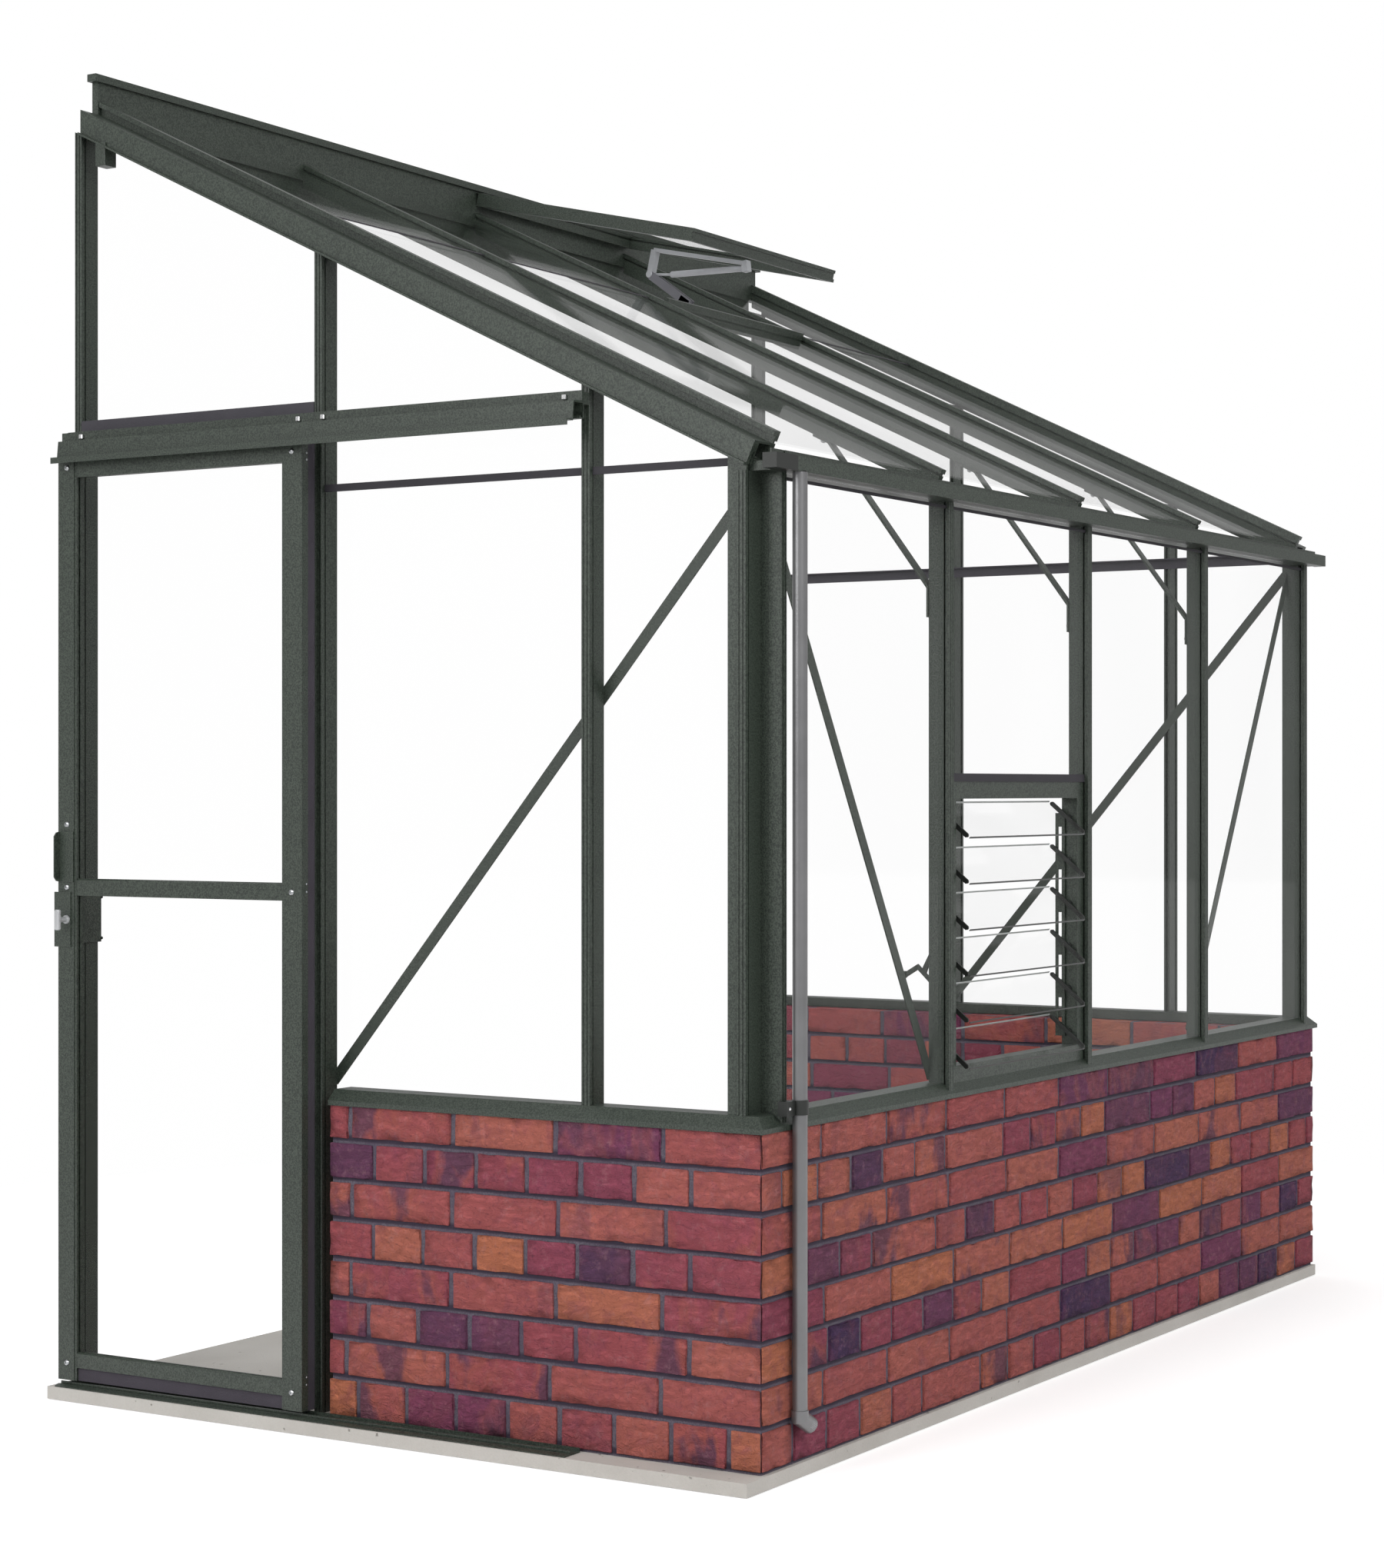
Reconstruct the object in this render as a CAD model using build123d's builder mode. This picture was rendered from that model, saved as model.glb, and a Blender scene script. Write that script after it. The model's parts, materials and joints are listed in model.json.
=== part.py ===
from build123d import *
from math import cos, hypot, radians, sin, tan
import os

# A lean-to glass greenhouse on a brick dwarf wall. X runs along the eaves,
# Y runs back towards the house wall that it leans on, Z is up. The origin
# is the centre of the slab's underside. The sliding door is in the left end.

# Slab and brickwork
slab_depth = 1660.0
slab_thickness = 25.0
slab_door_lip = 56.0
slab_front_lip = 4.0
wall_length = 2610.0
wall_height = 600.0
wall_thickness = 102.5
door_side_wall_length = 975.0

# Frame planes, measured in from the brick faces
frame_inset_door_end = 18.0
frame_inset_front = 3.0
frame_far_overhang = 14.0

# Glazing bar, an extrusion with an outer cap and a bolt slot inside
bar_width = 19.0
bar_depth = 47.0
cap_depth = 9.0
cap_chamfer = 1.2
cap_groove_depth = 2.2
cap_groove_start = 3.2
cap_groove_width = 1.6
neck_width = 5.0
glass_thickness = 4.0
glass_fit = 0.3
body_width = 16.0
slot_mouth = 7.0
slot_width = 11.0
slot_lip = 2.5
slot_depth = 7.0

# Bar positions
front_corner_offset = 60.5
corner_wing = 20.0
corner_wing_setback = 3.0
corner_face = 25.0
corner_web = 2.4
front_bays = 4
side_corner_offset = 52.0
side_first_pitch = 334.0
side_pitch = 628.0
glass_edge_gap = 2.0

# Sill extrusion on the wall top
sill_overhang = 2.0
sill_width = 68.0
sill_height = 24.0
sill_lip = 5.0
sill_nose = 4.0
sill_slope_run = 20.0
sill_lip_thickness = 1.8

# Roof
roof_pitch = 25.35
roof_bar_end = 20.0
roof_bar_top_height = 1820.0
eaves_drop = 63.0
eaves_beam_depth = 50.0
eaves_beam_floor = 17.0
eaves_beam_lip = 3.0
eaves_beam_upstand = 38.0
ridge_beam_depth = 16.0
ridge_beam_drop = 35.5
ridge_beam_height = 101.0
ridge_cap_depth = 24.0
ridge_cap_height = 15.0
ridge_beam_inset = 49.0
ridge_cap_inset = 35.0

# Gable rafter, an extrusion with a raised cap and a skirt over the end glass
rafter_rise = 10.0
rafter_cap = 9.0
rafter_shelf = 4.0
rafter_skirt = 70.0
rafter_skirt_top = 45.0
rafter_leg = 4.0
rafter_flange = 8.0
rafter_flange_thickness = 4.0

# Gutter and downpipe
gutter_width = 29.0
gutter_height = 27.0
gutter_wall = 2.0
gutter_lip = 5.0
outlet_length = 72.0
pipe_diameter = 27.0
pipe_wall = 1.5
pipe_from_corner = 82.0
pipe_gap = 3.0
pipe_bottom = 100.0
elbow_socket = 13.0
elbow_run = 39.0
elbow_turn = 60.0
elbow_diameter = 31.0
clip_height = 26.0
clip_bottom = 622.0
clip_wall = 2.0

# Door
door_front = 42.0
door_thickness = 18.0
door_post_lap = 12.0
door_end_gap = 15.0
door_bottom = 14.0
door_top = 1856.0
stile_width = 50.0
stile_lip = 6.0
top_rail_height = 36.0
mid_rail_bottom = 984.0
mid_rail_height = 34.0
bottom_rail_bottom = 40.0
bottom_rail_height = 31.0
brush_thickness = 6.0
rail_thickness = 14.0
rail_slope = 3.0
stile_edge = 1.0
stile_lip_rise = 1.5
wheel_groove = 2.5
wheel_side_gap = 3.0
handle_inset = 26.0
handle_width = 24.0
handle_bottom = 1011.0
handle_height = 101.0
handle_projection = 16.0
handle_sheet = 2.5
lock_inset = 18.0
lock_width = 44.0
lock_bottom = 881.0
lock_height = 110.0
lock_sheet = 2.5
lock_stem = 12.0
lock_stem_length = 20.0
lock_grip_length = 34.0
lock_grip_width = 9.0
lock_grip_depth = 8.0
pane_rebate = 8.0

# Door header with the hanging track, and the floor track
header_lip_front = 68.5
header_face_front = 51.0
header_ledge_front = 47.5
header_flange_front = 21.0
header_back_front = 16.0
header_lip_bottom = 1847.0
header_lip_height = 12.0
header_ledge_height = 1893.0
header_ledge_fall = 2.5
header_flange_top = 1914.0
header_sheet = 2.5
header_start = 368.0
header_end_inset = 6.0
header_shelf_height = 1865.0
header_shelf_reach = 12.5
track_bead = 3.0
hanger_thickness = 3.0
wheel_diameter = 18.0
wheel_width = 7.0
wheel_clearance = 0.4
hanger_width = 28.0
hanger_inset = 70.0
axle_diameter = 6.0
floor_track_start = 385.0
floor_track_end_inset = 1.0
floor_track_back = 4.0
floor_track_front = 52.0
floor_track_sheet = 3.0
floor_track_lip = 2.0
floor_ramp_run = 9.0
floor_rib_height = 9.0
floor_rib_thickness = 3.0
bracket_height = 22.0
bracket_sheet = 4.0
transom_bottom = 1915.0
transom_height = 26.0
jamb_sheet = 3.0
jamb_clearance = 5.0
jamb_inset = 4.0

# Bracing and strips
tie_strip_bottom = 1767.0
tie_strip_height = 14.0
far_tie_bottom = 1763.0
far_tie_height = 26.0
far_tie_depth = 16.0
far_tie_sheet = 3.0
brace_width = 22.0
brace_thickness = 3.0
brace_foot_rise = 10.0
brace_head_drop = 22.0
knee_foot = 1533.0
knee_bend = 1590.0
knee_reach = 277.0
knee_pad = 36.0
knee_width = 22.0
knee_thickness = 4.0

# Louvre window in the second front bay
bays_before_louvre = 1
louvre_top = 1212.0
louvre_bottom_rail_top = 654.0
louvre_top_rail = 34.0
louvre_stile = 30.0
louvre_depth = 36.0
louvre_setback = 12.0
louvre_strip_height = 16.0
blade_count = 6
blade_pitch = 90.8
blade_first = 682.0
blade_width = 108.0
blade_thickness = 4.0
blade_edge = 1.0
blade_angle = 39.5
blade_clip_gap = 8.0
blade_clip_thickness = 4.0
blade_clip_length = 102.0
blade_clip_height = 9.0
blade_clip_chamfer = 3.0
blade_hub = 7.0
link_width = 22.0
link_sheet = 2.0
link_back = 12.5
link_standoff = 4.0
link_overrun = 10.0
link_foot_height = 12.0
link_slot_width = 8.0
link_slot_height = 52.0
lever_reach = 61.0
lever_rise = 32.0
lever_elbow = 34.0
lever_width = 11.0
lever_thickness = 5.0
lever_height = 810.0
lever_strut_height = 68.0
knob_diameter = 14.0
knob_length = 12.0

# Roof vent over the third bay, standing open
vent_angle = 12.9
vent_length = 640.0
vent_thickness = 30.0
vent_rail = 22.0
vent_hinge_rise = 44.5
vent_hinge_gap = 1.0
vent_hinge_sheet = 3.0
vent_hinge_reach = 18.0
vent_glass_drop = 6.0
vent_groove_depth = 3.0
vent_groove_height = 14.0
bays_before_vent = 2
vent_sill_overhang = 84.5
vent_sill_rise = 8.0
vent_sill_bottom = 34.0
vent_sill_thickness = 12.0
opener_offset = 221.0
opener_tube = 14.0
opener_rod = 6.0
opener_bar = 6.0
opener_half_width = 10.0
opener_plate = 3.0
opener_drop = 12.0
opener_bar_length = 247.0
opener_bar_end = 10.0
opener_knuckle_drop = 58.0
opener_knuckle_back = 22.0
opener_tube_drop = 22.0
opener_rod_length = 60.0
opener_foot_top = 12.0
opener_foot_bottom = 28.0
opener_arm_width = 16.0

# Positions that follow from the sizes above
slab_length = wall_length + slab_door_lip
brick_left = -slab_length / 2 + slab_door_lip
brick_right = brick_left + wall_length
brick_front = -slab_depth / 2 + slab_front_lip
wall_plane = slab_depth / 2
wall_top = slab_thickness + wall_height
frame_left = brick_left + frame_inset_door_end
frame_right = brick_right + frame_far_overhang
frame_length = frame_right - frame_left
front_pitch = (frame_length - 2 * front_corner_offset) / front_bays
frame_front = brick_front + frame_inset_front
glass_depth = cap_depth + glass_fit
groove_width = glass_thickness + 2 * glass_fit
body_start = cap_depth + groove_width
eaves = slab_thickness + roof_bar_top_height - eaves_drop
sill_top = wall_top + sill_height
pitch_sin = sin(radians(roof_pitch))
pitch_cos = cos(radians(roof_pitch))
pitch_tan = tan(radians(roof_pitch))
roof_start_y = brick_front + roof_bar_end
roof_start_z = slab_thickness + roof_bar_top_height
ridge_face = wall_plane - ridge_beam_depth
roof_length = (ridge_face - roof_start_y) / pitch_cos
front_bar_x = [frame_left + front_corner_offset + front_pitch * i for i in range(front_bays + 1)]
side_corner_y = frame_front + side_corner_offset
side_bar_y = [side_corner_y + side_first_pitch, side_corner_y + side_first_pitch + side_pitch]
rear_bar_y = wall_plane - bar_width / 2


def roof_point(along, depth):
    # A point in the roof plane's own side view: along the slope, then down from it
    y = roof_start_y + along * pitch_cos + depth * pitch_sin
    z = roof_start_z + along * pitch_sin - depth * pitch_cos
    return y, z


def roof_height(y, depth):
    # The height of a plane parallel to the roof, at a distance from front to back
    return roof_start_z + (y - roof_start_y) * pitch_tan - depth / pitch_cos


# Half of the glazing bar's section, mirrored: grooved cap, neck, body and bolt slot
half_cap = bar_width / 2
half_body = body_width / 2
slot_end = bar_depth - slot_lip
cap_groove_end = cap_groove_start + cap_groove_width
with BuildSketch() as bar_section:
    with BuildLine():
        Polyline(
            (0, 0),
            (cap_groove_start, 0),
            (cap_groove_start, cap_groove_depth),
            (cap_groove_end, cap_groove_depth),
            (cap_groove_end, 0),
            (half_cap - cap_chamfer, 0),
            (half_cap, cap_chamfer),
            (half_cap, cap_depth),
            (neck_width / 2, cap_depth),
            (neck_width / 2, body_start),
            (half_body, body_start),
            (half_body, bar_depth),
            (slot_mouth / 2, bar_depth),
            (slot_mouth / 2, slot_end),
            (slot_width / 2, slot_end),
            (slot_width / 2, bar_depth - slot_depth),
            (0, bar_depth - slot_depth),
            close=True,
        )
    make_face()
    mirror(about=Plane.YZ)

# The sill's section: a lip down over the brick, a sloped nose and a flat top
with BuildSketch() as sill_section:
    with BuildLine():
        Polyline(
            (0, -sill_lip),
            (0, sill_nose),
            (sill_slope_run, sill_height),
            (sill_width, sill_height),
            (sill_width, 0),
            (sill_lip_thickness, 0),
            (sill_lip_thickness, -sill_lip),
            close=True,
        )
    make_face()

front_sill_y = brick_front - sill_overhang
left_sill_x = brick_left - sill_overhang
right_sill_x = frame_right + frame_inset_front + sill_overhang
front_sill_plane = Plane((left_sill_x, front_sill_y, wall_top), x_dir=(0, 1, 0), z_dir=(1, 0, 0))
front_sill_length = right_sill_x - left_sill_x
left_sill_end = brick_front + door_side_wall_length
left_sill_plane = Plane((left_sill_x, left_sill_end, wall_top), x_dir=(1, 0, 0), z_dir=(0, -1, 0))
left_sill_length = left_sill_end - front_sill_y
right_sill_plane = Plane((right_sill_x, front_sill_y, wall_top), x_dir=(-1, 0, 0), z_dir=(0, 1, 0))
right_sill_length = wall_plane - front_sill_y
sill_cut_height = sill_height + sill_lip
sill_cut_plane = Plane.XY.offset(wall_top - sill_lip)

os.makedirs("parts", exist_ok=True)

# Slab, which is also the floor
with BuildPart() as floor_slab:
    with BuildSketch(Plane.XY):
        Rectangle(slab_length, slab_depth)
    extrude(amount=slab_thickness)
floor_slab.part.label = "floor_slab"
export_step(floor_slab.part, "parts/floor_slab.step")

# Brick walls: the front wall runs full length, and the end walls butt against its back
with BuildPart() as front_wall:
    with BuildSketch(Plane.XY.offset(slab_thickness)):
        with Locations((brick_left, brick_front)):
            Rectangle(wall_length, wall_thickness, align=(Align.MIN, Align.MIN))
    extrude(amount=wall_height)
front_wall.part.label = "front_wall"
export_step(front_wall.part, "parts/front_wall.step")

with BuildPart() as door_side_wall:
    with BuildSketch(Plane.XY.offset(slab_thickness)):
        with Locations((brick_left, brick_front + wall_thickness)):
            Rectangle(
                wall_thickness,
                door_side_wall_length - wall_thickness,
                align=(Align.MIN, Align.MIN),
            )
    extrude(amount=wall_height)
door_side_wall.part.label = "door_side_wall"
export_step(door_side_wall.part, "parts/door_side_wall.step")

with BuildPart() as far_side_wall:
    with BuildSketch(Plane.XY.offset(slab_thickness)):
        with Locations((brick_right, brick_front + wall_thickness)):
            Rectangle(
                wall_thickness,
                wall_plane - brick_front - wall_thickness,
                align=(Align.MAX, Align.MIN),
            )
    extrude(amount=wall_height)
far_side_wall.part.label = "far_side_wall"
export_step(far_side_wall.part, "parts/far_side_wall.step")

# Sills, mitred at the two front corners
with BuildPart() as front_sill:
    with BuildSketch(front_sill_plane):
        add(sill_section.sketch)
    extrude(amount=front_sill_length)
    with BuildSketch(sill_cut_plane):
        with BuildLine():
            Polyline(
                (left_sill_x, front_sill_y),
                (left_sill_x, front_sill_y + sill_width),
                (left_sill_x + sill_width, front_sill_y + sill_width),
                close=True,
            )
        make_face()
        with BuildLine():
            Polyline(
                (right_sill_x, front_sill_y),
                (right_sill_x, front_sill_y + sill_width),
                (right_sill_x - sill_width, front_sill_y + sill_width),
                close=True,
            )
        make_face()
    extrude(amount=sill_cut_height, mode=Mode.SUBTRACT)
front_sill.part.label = "front_sill"
export_step(front_sill.part, "parts/front_sill.step")

with BuildPart() as door_side_sill:
    with BuildSketch(left_sill_plane):
        add(sill_section.sketch)
    extrude(amount=left_sill_length)
    with BuildSketch(sill_cut_plane):
        with BuildLine():
            Polyline(
                (left_sill_x, front_sill_y),
                (left_sill_x + sill_width, front_sill_y),
                (left_sill_x + sill_width, front_sill_y + sill_width),
                close=True,
            )
        make_face()
    extrude(amount=sill_cut_height, mode=Mode.SUBTRACT)
door_side_sill.part.label = "door_side_sill"
export_step(door_side_sill.part, "parts/door_side_sill.step")

with BuildPart() as far_side_sill:
    with BuildSketch(right_sill_plane):
        add(sill_section.sketch)
    extrude(amount=right_sill_length)
    with BuildSketch(sill_cut_plane):
        with BuildLine():
            Polyline(
                (right_sill_x, front_sill_y),
                (right_sill_x - sill_width, front_sill_y),
                (right_sill_x - sill_width, front_sill_y + sill_width),
                close=True,
            )
        make_face()
    extrude(amount=sill_cut_height, mode=Mode.SUBTRACT)
far_side_sill.part.label = "far_side_sill"
export_step(far_side_sill.part, "parts/far_side_sill.step")


def front_bar_plane(x, z):
    return Plane((x, frame_front, z), x_dir=(1, 0, 0), z_dir=(0, 0, 1))


def left_bar_plane(y, z):
    return Plane((frame_left, y, z), x_dir=(0, -1, 0), z_dir=(0, 0, 1))


def right_bar_plane(y, z):
    return Plane((frame_right, y, z), x_dir=(0, 1, 0), z_dir=(0, 0, 1))


ridge_line = roof_height(ridge_face, 0)
ridge_bottom = ridge_line - ridge_beam_drop
ridge_top = ridge_bottom + ridge_beam_height
skirt_end = rafter_skirt - rafter_rise
skirt_line = Plane(
    (0, roof_start_y, roof_height(roof_start_y, skirt_end)),
    x_dir=(1, 0, 0),
    z_dir=(0, -pitch_sin, pitch_cos),
)


def corner_head(bar_y):
    # The outer wall of a corner post above the eaves, cut to the rafter's underside
    front = bar_y - half_cap
    back = bar_y + half_cap + corner_wing
    return [
        (front, eaves),
        (back, eaves),
        (back, roof_height(back, skirt_end)),
        (front, roof_height(front, skirt_end)),
    ]


# Corner posts: a front bar and an end bar joined behind an open outer corner
corner_web_length = front_corner_offset - bar_depth / 2
corner_wing_depth = cap_depth - corner_wing_setback
with BuildPart() as left_corner_post:
    with BuildSketch(front_bar_plane(front_bar_x[0], wall_top)):
        add(bar_section.sketch)
    extrude(amount=eaves - wall_top)
    with BuildSketch(left_bar_plane(side_corner_y, wall_top)):
        add(bar_section.sketch)
    extrude(amount=eaves - wall_top)
    with BuildSketch(Plane.XY.offset(wall_top)):
        with Locations((front_bar_x[0] - body_width / 2, side_corner_y - body_width / 2)):
            Rectangle(body_width, body_width, align=(Align.MIN, Align.MIN))
        with Locations((frame_left + bar_depth / 2, side_corner_y - body_width / 2)):
            Rectangle(corner_web_length, corner_web, align=(Align.MIN, Align.MIN))
        with Locations((frame_left + corner_wing_setback, side_corner_y + half_cap)):
            Rectangle(corner_wing_depth, corner_wing, align=(Align.MIN, Align.MIN))
        with Locations((front_bar_x[0] - half_cap, frame_front + cap_chamfer)):
            Rectangle(half_cap, corner_face, align=(Align.MIN, Align.MIN))
    extrude(amount=eaves - wall_top)
    with BuildSketch(Plane((frame_left + corner_wing_setback, 0, 0), x_dir=(0, 1, 0), z_dir=(1, 0, 0))):
        Polygon(*corner_head(side_corner_y), align=None)
    extrude(amount=corner_wing_depth)
    with BuildSketch(front_sill_plane):
        add(sill_section.sketch)
    extrude(amount=front_sill_length, mode=Mode.SUBTRACT)
    with BuildSketch(left_sill_plane):
        add(sill_section.sketch)
    extrude(amount=left_sill_length, mode=Mode.SUBTRACT)
left_corner_post.part.label = "left_corner_post"
export_step(left_corner_post.part, "parts/left_corner_post.step")

with BuildPart() as right_corner_post:
    with BuildSketch(front_bar_plane(front_bar_x[-1], wall_top)):
        add(bar_section.sketch)
    extrude(amount=eaves - wall_top)
    with BuildSketch(right_bar_plane(side_corner_y, wall_top)):
        add(bar_section.sketch)
    extrude(amount=eaves - wall_top)
    with BuildSketch(Plane.XY.offset(wall_top)):
        with Locations((front_bar_x[-1] + body_width / 2, side_corner_y - body_width / 2)):
            Rectangle(body_width, body_width, align=(Align.MAX, Align.MIN))
        with Locations((frame_right - bar_depth / 2, side_corner_y - body_width / 2)):
            Rectangle(corner_web_length, corner_web, align=(Align.MAX, Align.MIN))
        with Locations((frame_right - corner_wing_setback, side_corner_y + half_cap)):
            Rectangle(corner_wing_depth, corner_wing, align=(Align.MAX, Align.MIN))
        with Locations((front_bar_x[-1] + half_cap, frame_front + cap_chamfer)):
            Rectangle(half_cap, corner_face, align=(Align.MAX, Align.MIN))
    extrude(amount=eaves - wall_top)
    with BuildSketch(Plane((frame_right - cap_depth, 0, 0), x_dir=(0, 1, 0), z_dir=(1, 0, 0))):
        Polygon(*corner_head(side_corner_y), align=None)
    extrude(amount=corner_wing_depth)
    with BuildSketch(front_sill_plane):
        add(sill_section.sketch)
    extrude(amount=front_sill_length, mode=Mode.SUBTRACT)
    with BuildSketch(right_sill_plane):
        add(sill_section.sketch)
    extrude(amount=right_sill_length, mode=Mode.SUBTRACT)
right_corner_post.part.label = "right_corner_post"
export_step(right_corner_post.part, "parts/right_corner_post.step")

# Front posts between the corners
with BuildPart() as front_posts:
    for bar_x in front_bar_x[1:-1]:
        with BuildSketch(front_bar_plane(bar_x, wall_top)):
            add(bar_section.sketch)
        extrude(amount=eaves - wall_top)
    with BuildSketch(front_sill_plane):
        add(sill_section.sketch)
    extrude(amount=front_sill_length, mode=Mode.SUBTRACT)
front_posts.part.label = "front_posts"
export_step(front_posts.part, "parts/front_posts.step")

# Door end posts, with their tops cut to the rafter. The door post runs to the floor track
post_reach = ridge_top
with BuildPart() as door_side_post:
    with BuildSketch(left_bar_plane(side_bar_y[0], wall_top)):
        add(bar_section.sketch)
    extrude(amount=post_reach)
    split(bisect_by=skirt_line, keep=Keep.BOTTOM)
    with BuildSketch(left_sill_plane):
        add(sill_section.sketch)
    extrude(amount=left_sill_length, mode=Mode.SUBTRACT)
door_side_post.part.label = "door_side_post"
export_step(door_side_post.part, "parts/door_side_post.step")

with BuildPart() as door_post:
    with BuildSketch(left_bar_plane(side_bar_y[1], slab_thickness)):
        add(bar_section.sketch)
    extrude(amount=post_reach)
    split(bisect_by=skirt_line, keep=Keep.BOTTOM)
door_post.part.label = "door_post"
export_step(door_post.part, "parts/door_post.step")

with BuildPart() as door_side_rear_post:
    with BuildSketch(left_bar_plane(rear_bar_y, slab_thickness)):
        add(bar_section.sketch)
    extrude(amount=post_reach)
    split(bisect_by=skirt_line, keep=Keep.BOTTOM)
door_side_rear_post.part.label = "door_side_rear_post"
export_step(door_side_rear_post.part, "parts/door_side_rear_post.step")

# Far end posts, which all stand on the sill
with BuildPart() as far_side_posts:
    for bar_y in (*side_bar_y, rear_bar_y):
        with BuildSketch(right_bar_plane(bar_y, wall_top)):
            add(bar_section.sketch)
        extrude(amount=post_reach)
    split(bisect_by=skirt_line, keep=Keep.BOTTOM)
    with BuildSketch(right_sill_plane):
        add(sill_section.sketch)
    extrude(amount=right_sill_length, mode=Mode.SUBTRACT)
far_side_posts.part.label = "far_side_posts"
export_step(far_side_posts.part, "parts/far_side_posts.step")

# Eaves beam, with a seat cut to the slope of the roof bars
beam_start = frame_left + cap_depth + groove_width + rafter_leg + glass_fit
beam_length = frame_length - 2 * (beam_start - frame_left)
seat_back_y = frame_front + eaves_beam_depth
seat_front_y = frame_front + (eaves_beam_depth + eaves_beam_lip) / 2 + cap_depth
with BuildPart() as eaves_beam:
    with BuildSketch(Plane((beam_start, 0, 0), x_dir=(0, 1, 0), z_dir=(1, 0, 0))):
        with BuildLine():
            Polyline(
                (frame_front, eaves),
                (seat_back_y, eaves),
                (seat_back_y, roof_height(seat_back_y, bar_depth)),
                (seat_front_y, roof_height(seat_front_y, bar_depth)),
                (seat_front_y, eaves + eaves_beam_floor),
                (frame_front + eaves_beam_lip, eaves + eaves_beam_floor),
                (frame_front + eaves_beam_lip, eaves + eaves_beam_upstand),
                (frame_front, eaves + eaves_beam_upstand),
                close=True,
            )
        make_face()
    extrude(amount=beam_length)
eaves_beam.part.label = "eaves_beam"
export_step(eaves_beam.part, "parts/eaves_beam.step")


# Roof bars, from the eaves beam up to the face of the ridge beam
def roof_bar_plane(x):
    return Plane(
        (x, roof_start_y, roof_start_z),
        x_dir=(1, 0, 0),
        z_dir=(0, pitch_cos, pitch_sin),
    )


ridge_cut = Plane((0, ridge_face, 0), x_dir=(1, 0, 0), z_dir=(0, 1, 0))
roof_overrun = roof_length + bar_depth
with BuildPart() as roof_bars:
    for bar_x in front_bar_x[1:-1]:
        with BuildSketch(roof_bar_plane(bar_x)):
            add(bar_section.sketch)
        extrude(amount=roof_overrun)
    split(bisect_by=ridge_cut, keep=Keep.BOTTOM)
roof_bars.part.label = "roof_bars"
export_step(roof_bars.part, "parts/roof_bars.step")


# The gable rafter's section, from its outer face inwards: a raised cap over the
# roof glass, a shelf, and a skirt with a groove for the top of the end glass
raised_top = -rafter_rise
neck_out = front_corner_offset - neck_width / 2
neck_in = front_corner_offset + neck_width / 2
cap_out = front_corner_offset - bar_width / 2
cap_in = front_corner_offset + bar_width / 2
raised_body_out = front_corner_offset - body_width / 2
raised_body_in = front_corner_offset + body_width / 2
leg_in = cap_depth + groove_width + rafter_leg
with BuildSketch() as rafter_section:
    with BuildLine():
        Polyline(
            (cap_out, raised_top),
            (cap_in, raised_top),
            (cap_in, cap_depth),
            (neck_in, cap_depth),
            (neck_in, body_start),
            (raised_body_in, body_start),
            (raised_body_in, bar_depth),
            (raised_body_out, bar_depth),
            (raised_body_out, body_start + rafter_shelf),
            (leg_in, body_start + rafter_shelf),
            (leg_in, skirt_end),
            (cap_depth + groove_width, skirt_end),
            (cap_depth + groove_width, rafter_skirt_top - rafter_rise),
            (cap_depth, rafter_skirt_top - rafter_rise),
            (cap_depth, skirt_end),
            (-rafter_flange, skirt_end),
            (-rafter_flange, skirt_end - rafter_flange_thickness),
            (0, skirt_end - rafter_flange_thickness),
            (0, body_start),
            (neck_out, body_start),
            (neck_out, raised_top + rafter_cap),
            (cap_out, raised_top + rafter_cap),
            close=True,
        )
    make_face()

with BuildPart() as left_rafter:
    with BuildSketch(roof_bar_plane(frame_left)):
        add(rafter_section.sketch)
    extrude(amount=roof_overrun)
    split(bisect_by=ridge_cut, keep=Keep.BOTTOM)
left_rafter.part.label = "left_rafter"
export_step(left_rafter.part, "parts/left_rafter.step")

with BuildPart() as right_rafter:
    with BuildSketch(roof_bar_plane(frame_right)):
        mirror(rafter_section.sketch, about=Plane.YZ)
    extrude(amount=roof_overrun)
    split(bisect_by=ridge_cut, keep=Keep.BOTTOM)
right_rafter.part.label = "right_rafter"
export_step(right_rafter.part, "parts/right_rafter.step")

# Ridge beam against the house wall, with a projecting cap
ridge_cap_foot = ridge_top - ridge_cap_height
with BuildPart() as ridge_beam:
    with BuildSketch(Plane((frame_left + ridge_beam_inset, 0, 0), x_dir=(0, 1, 0), z_dir=(1, 0, 0))):
        with Locations((wall_plane, ridge_bottom)):
            Rectangle(ridge_beam_depth, ridge_cap_foot - ridge_bottom, align=(Align.MAX, Align.MIN))
    extrude(amount=frame_length - 2 * ridge_beam_inset)
    with BuildSketch(Plane((frame_left + ridge_cap_inset, 0, 0), x_dir=(0, 1, 0), z_dir=(1, 0, 0))):
        with Locations((wall_plane, ridge_cap_foot)):
            Rectangle(ridge_cap_depth, ridge_cap_height, align=(Align.MAX, Align.MIN))
    extrude(amount=frame_length - 2 * ridge_cap_inset)
ridge_beam.part.label = "ridge_beam"
export_step(ridge_beam.part, "parts/ridge_beam.step")

# Gutter along the eaves beam, open at the top: its floor, then its two walls
gutter_start = frame_left + front_corner_offset
gutter_length = frame_right - gutter_wall - gutter_start
gutter_back = frame_front
gutter_front = gutter_back - gutter_width
pipe_x = frame_left + pipe_from_corner
pipe_y = brick_front - pipe_gap - pipe_diameter / 2
with BuildPart() as gutter_floor:
    with BuildSketch(Plane((gutter_start, 0, eaves), x_dir=(0, 1, 0), z_dir=(1, 0, 0))):
        with Locations((gutter_front, 0)):
            Rectangle(gutter_width, gutter_wall, align=(Align.MIN, Align.MIN))
    extrude(amount=gutter_length)
    with BuildSketch(Plane.XY.offset(eaves)):
        with Locations((pipe_x, pipe_y)):
            Circle(pipe_diameter / 2 - pipe_wall)
    extrude(amount=gutter_wall, mode=Mode.SUBTRACT)
gutter_floor.part.label = "gutter_floor"
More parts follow.
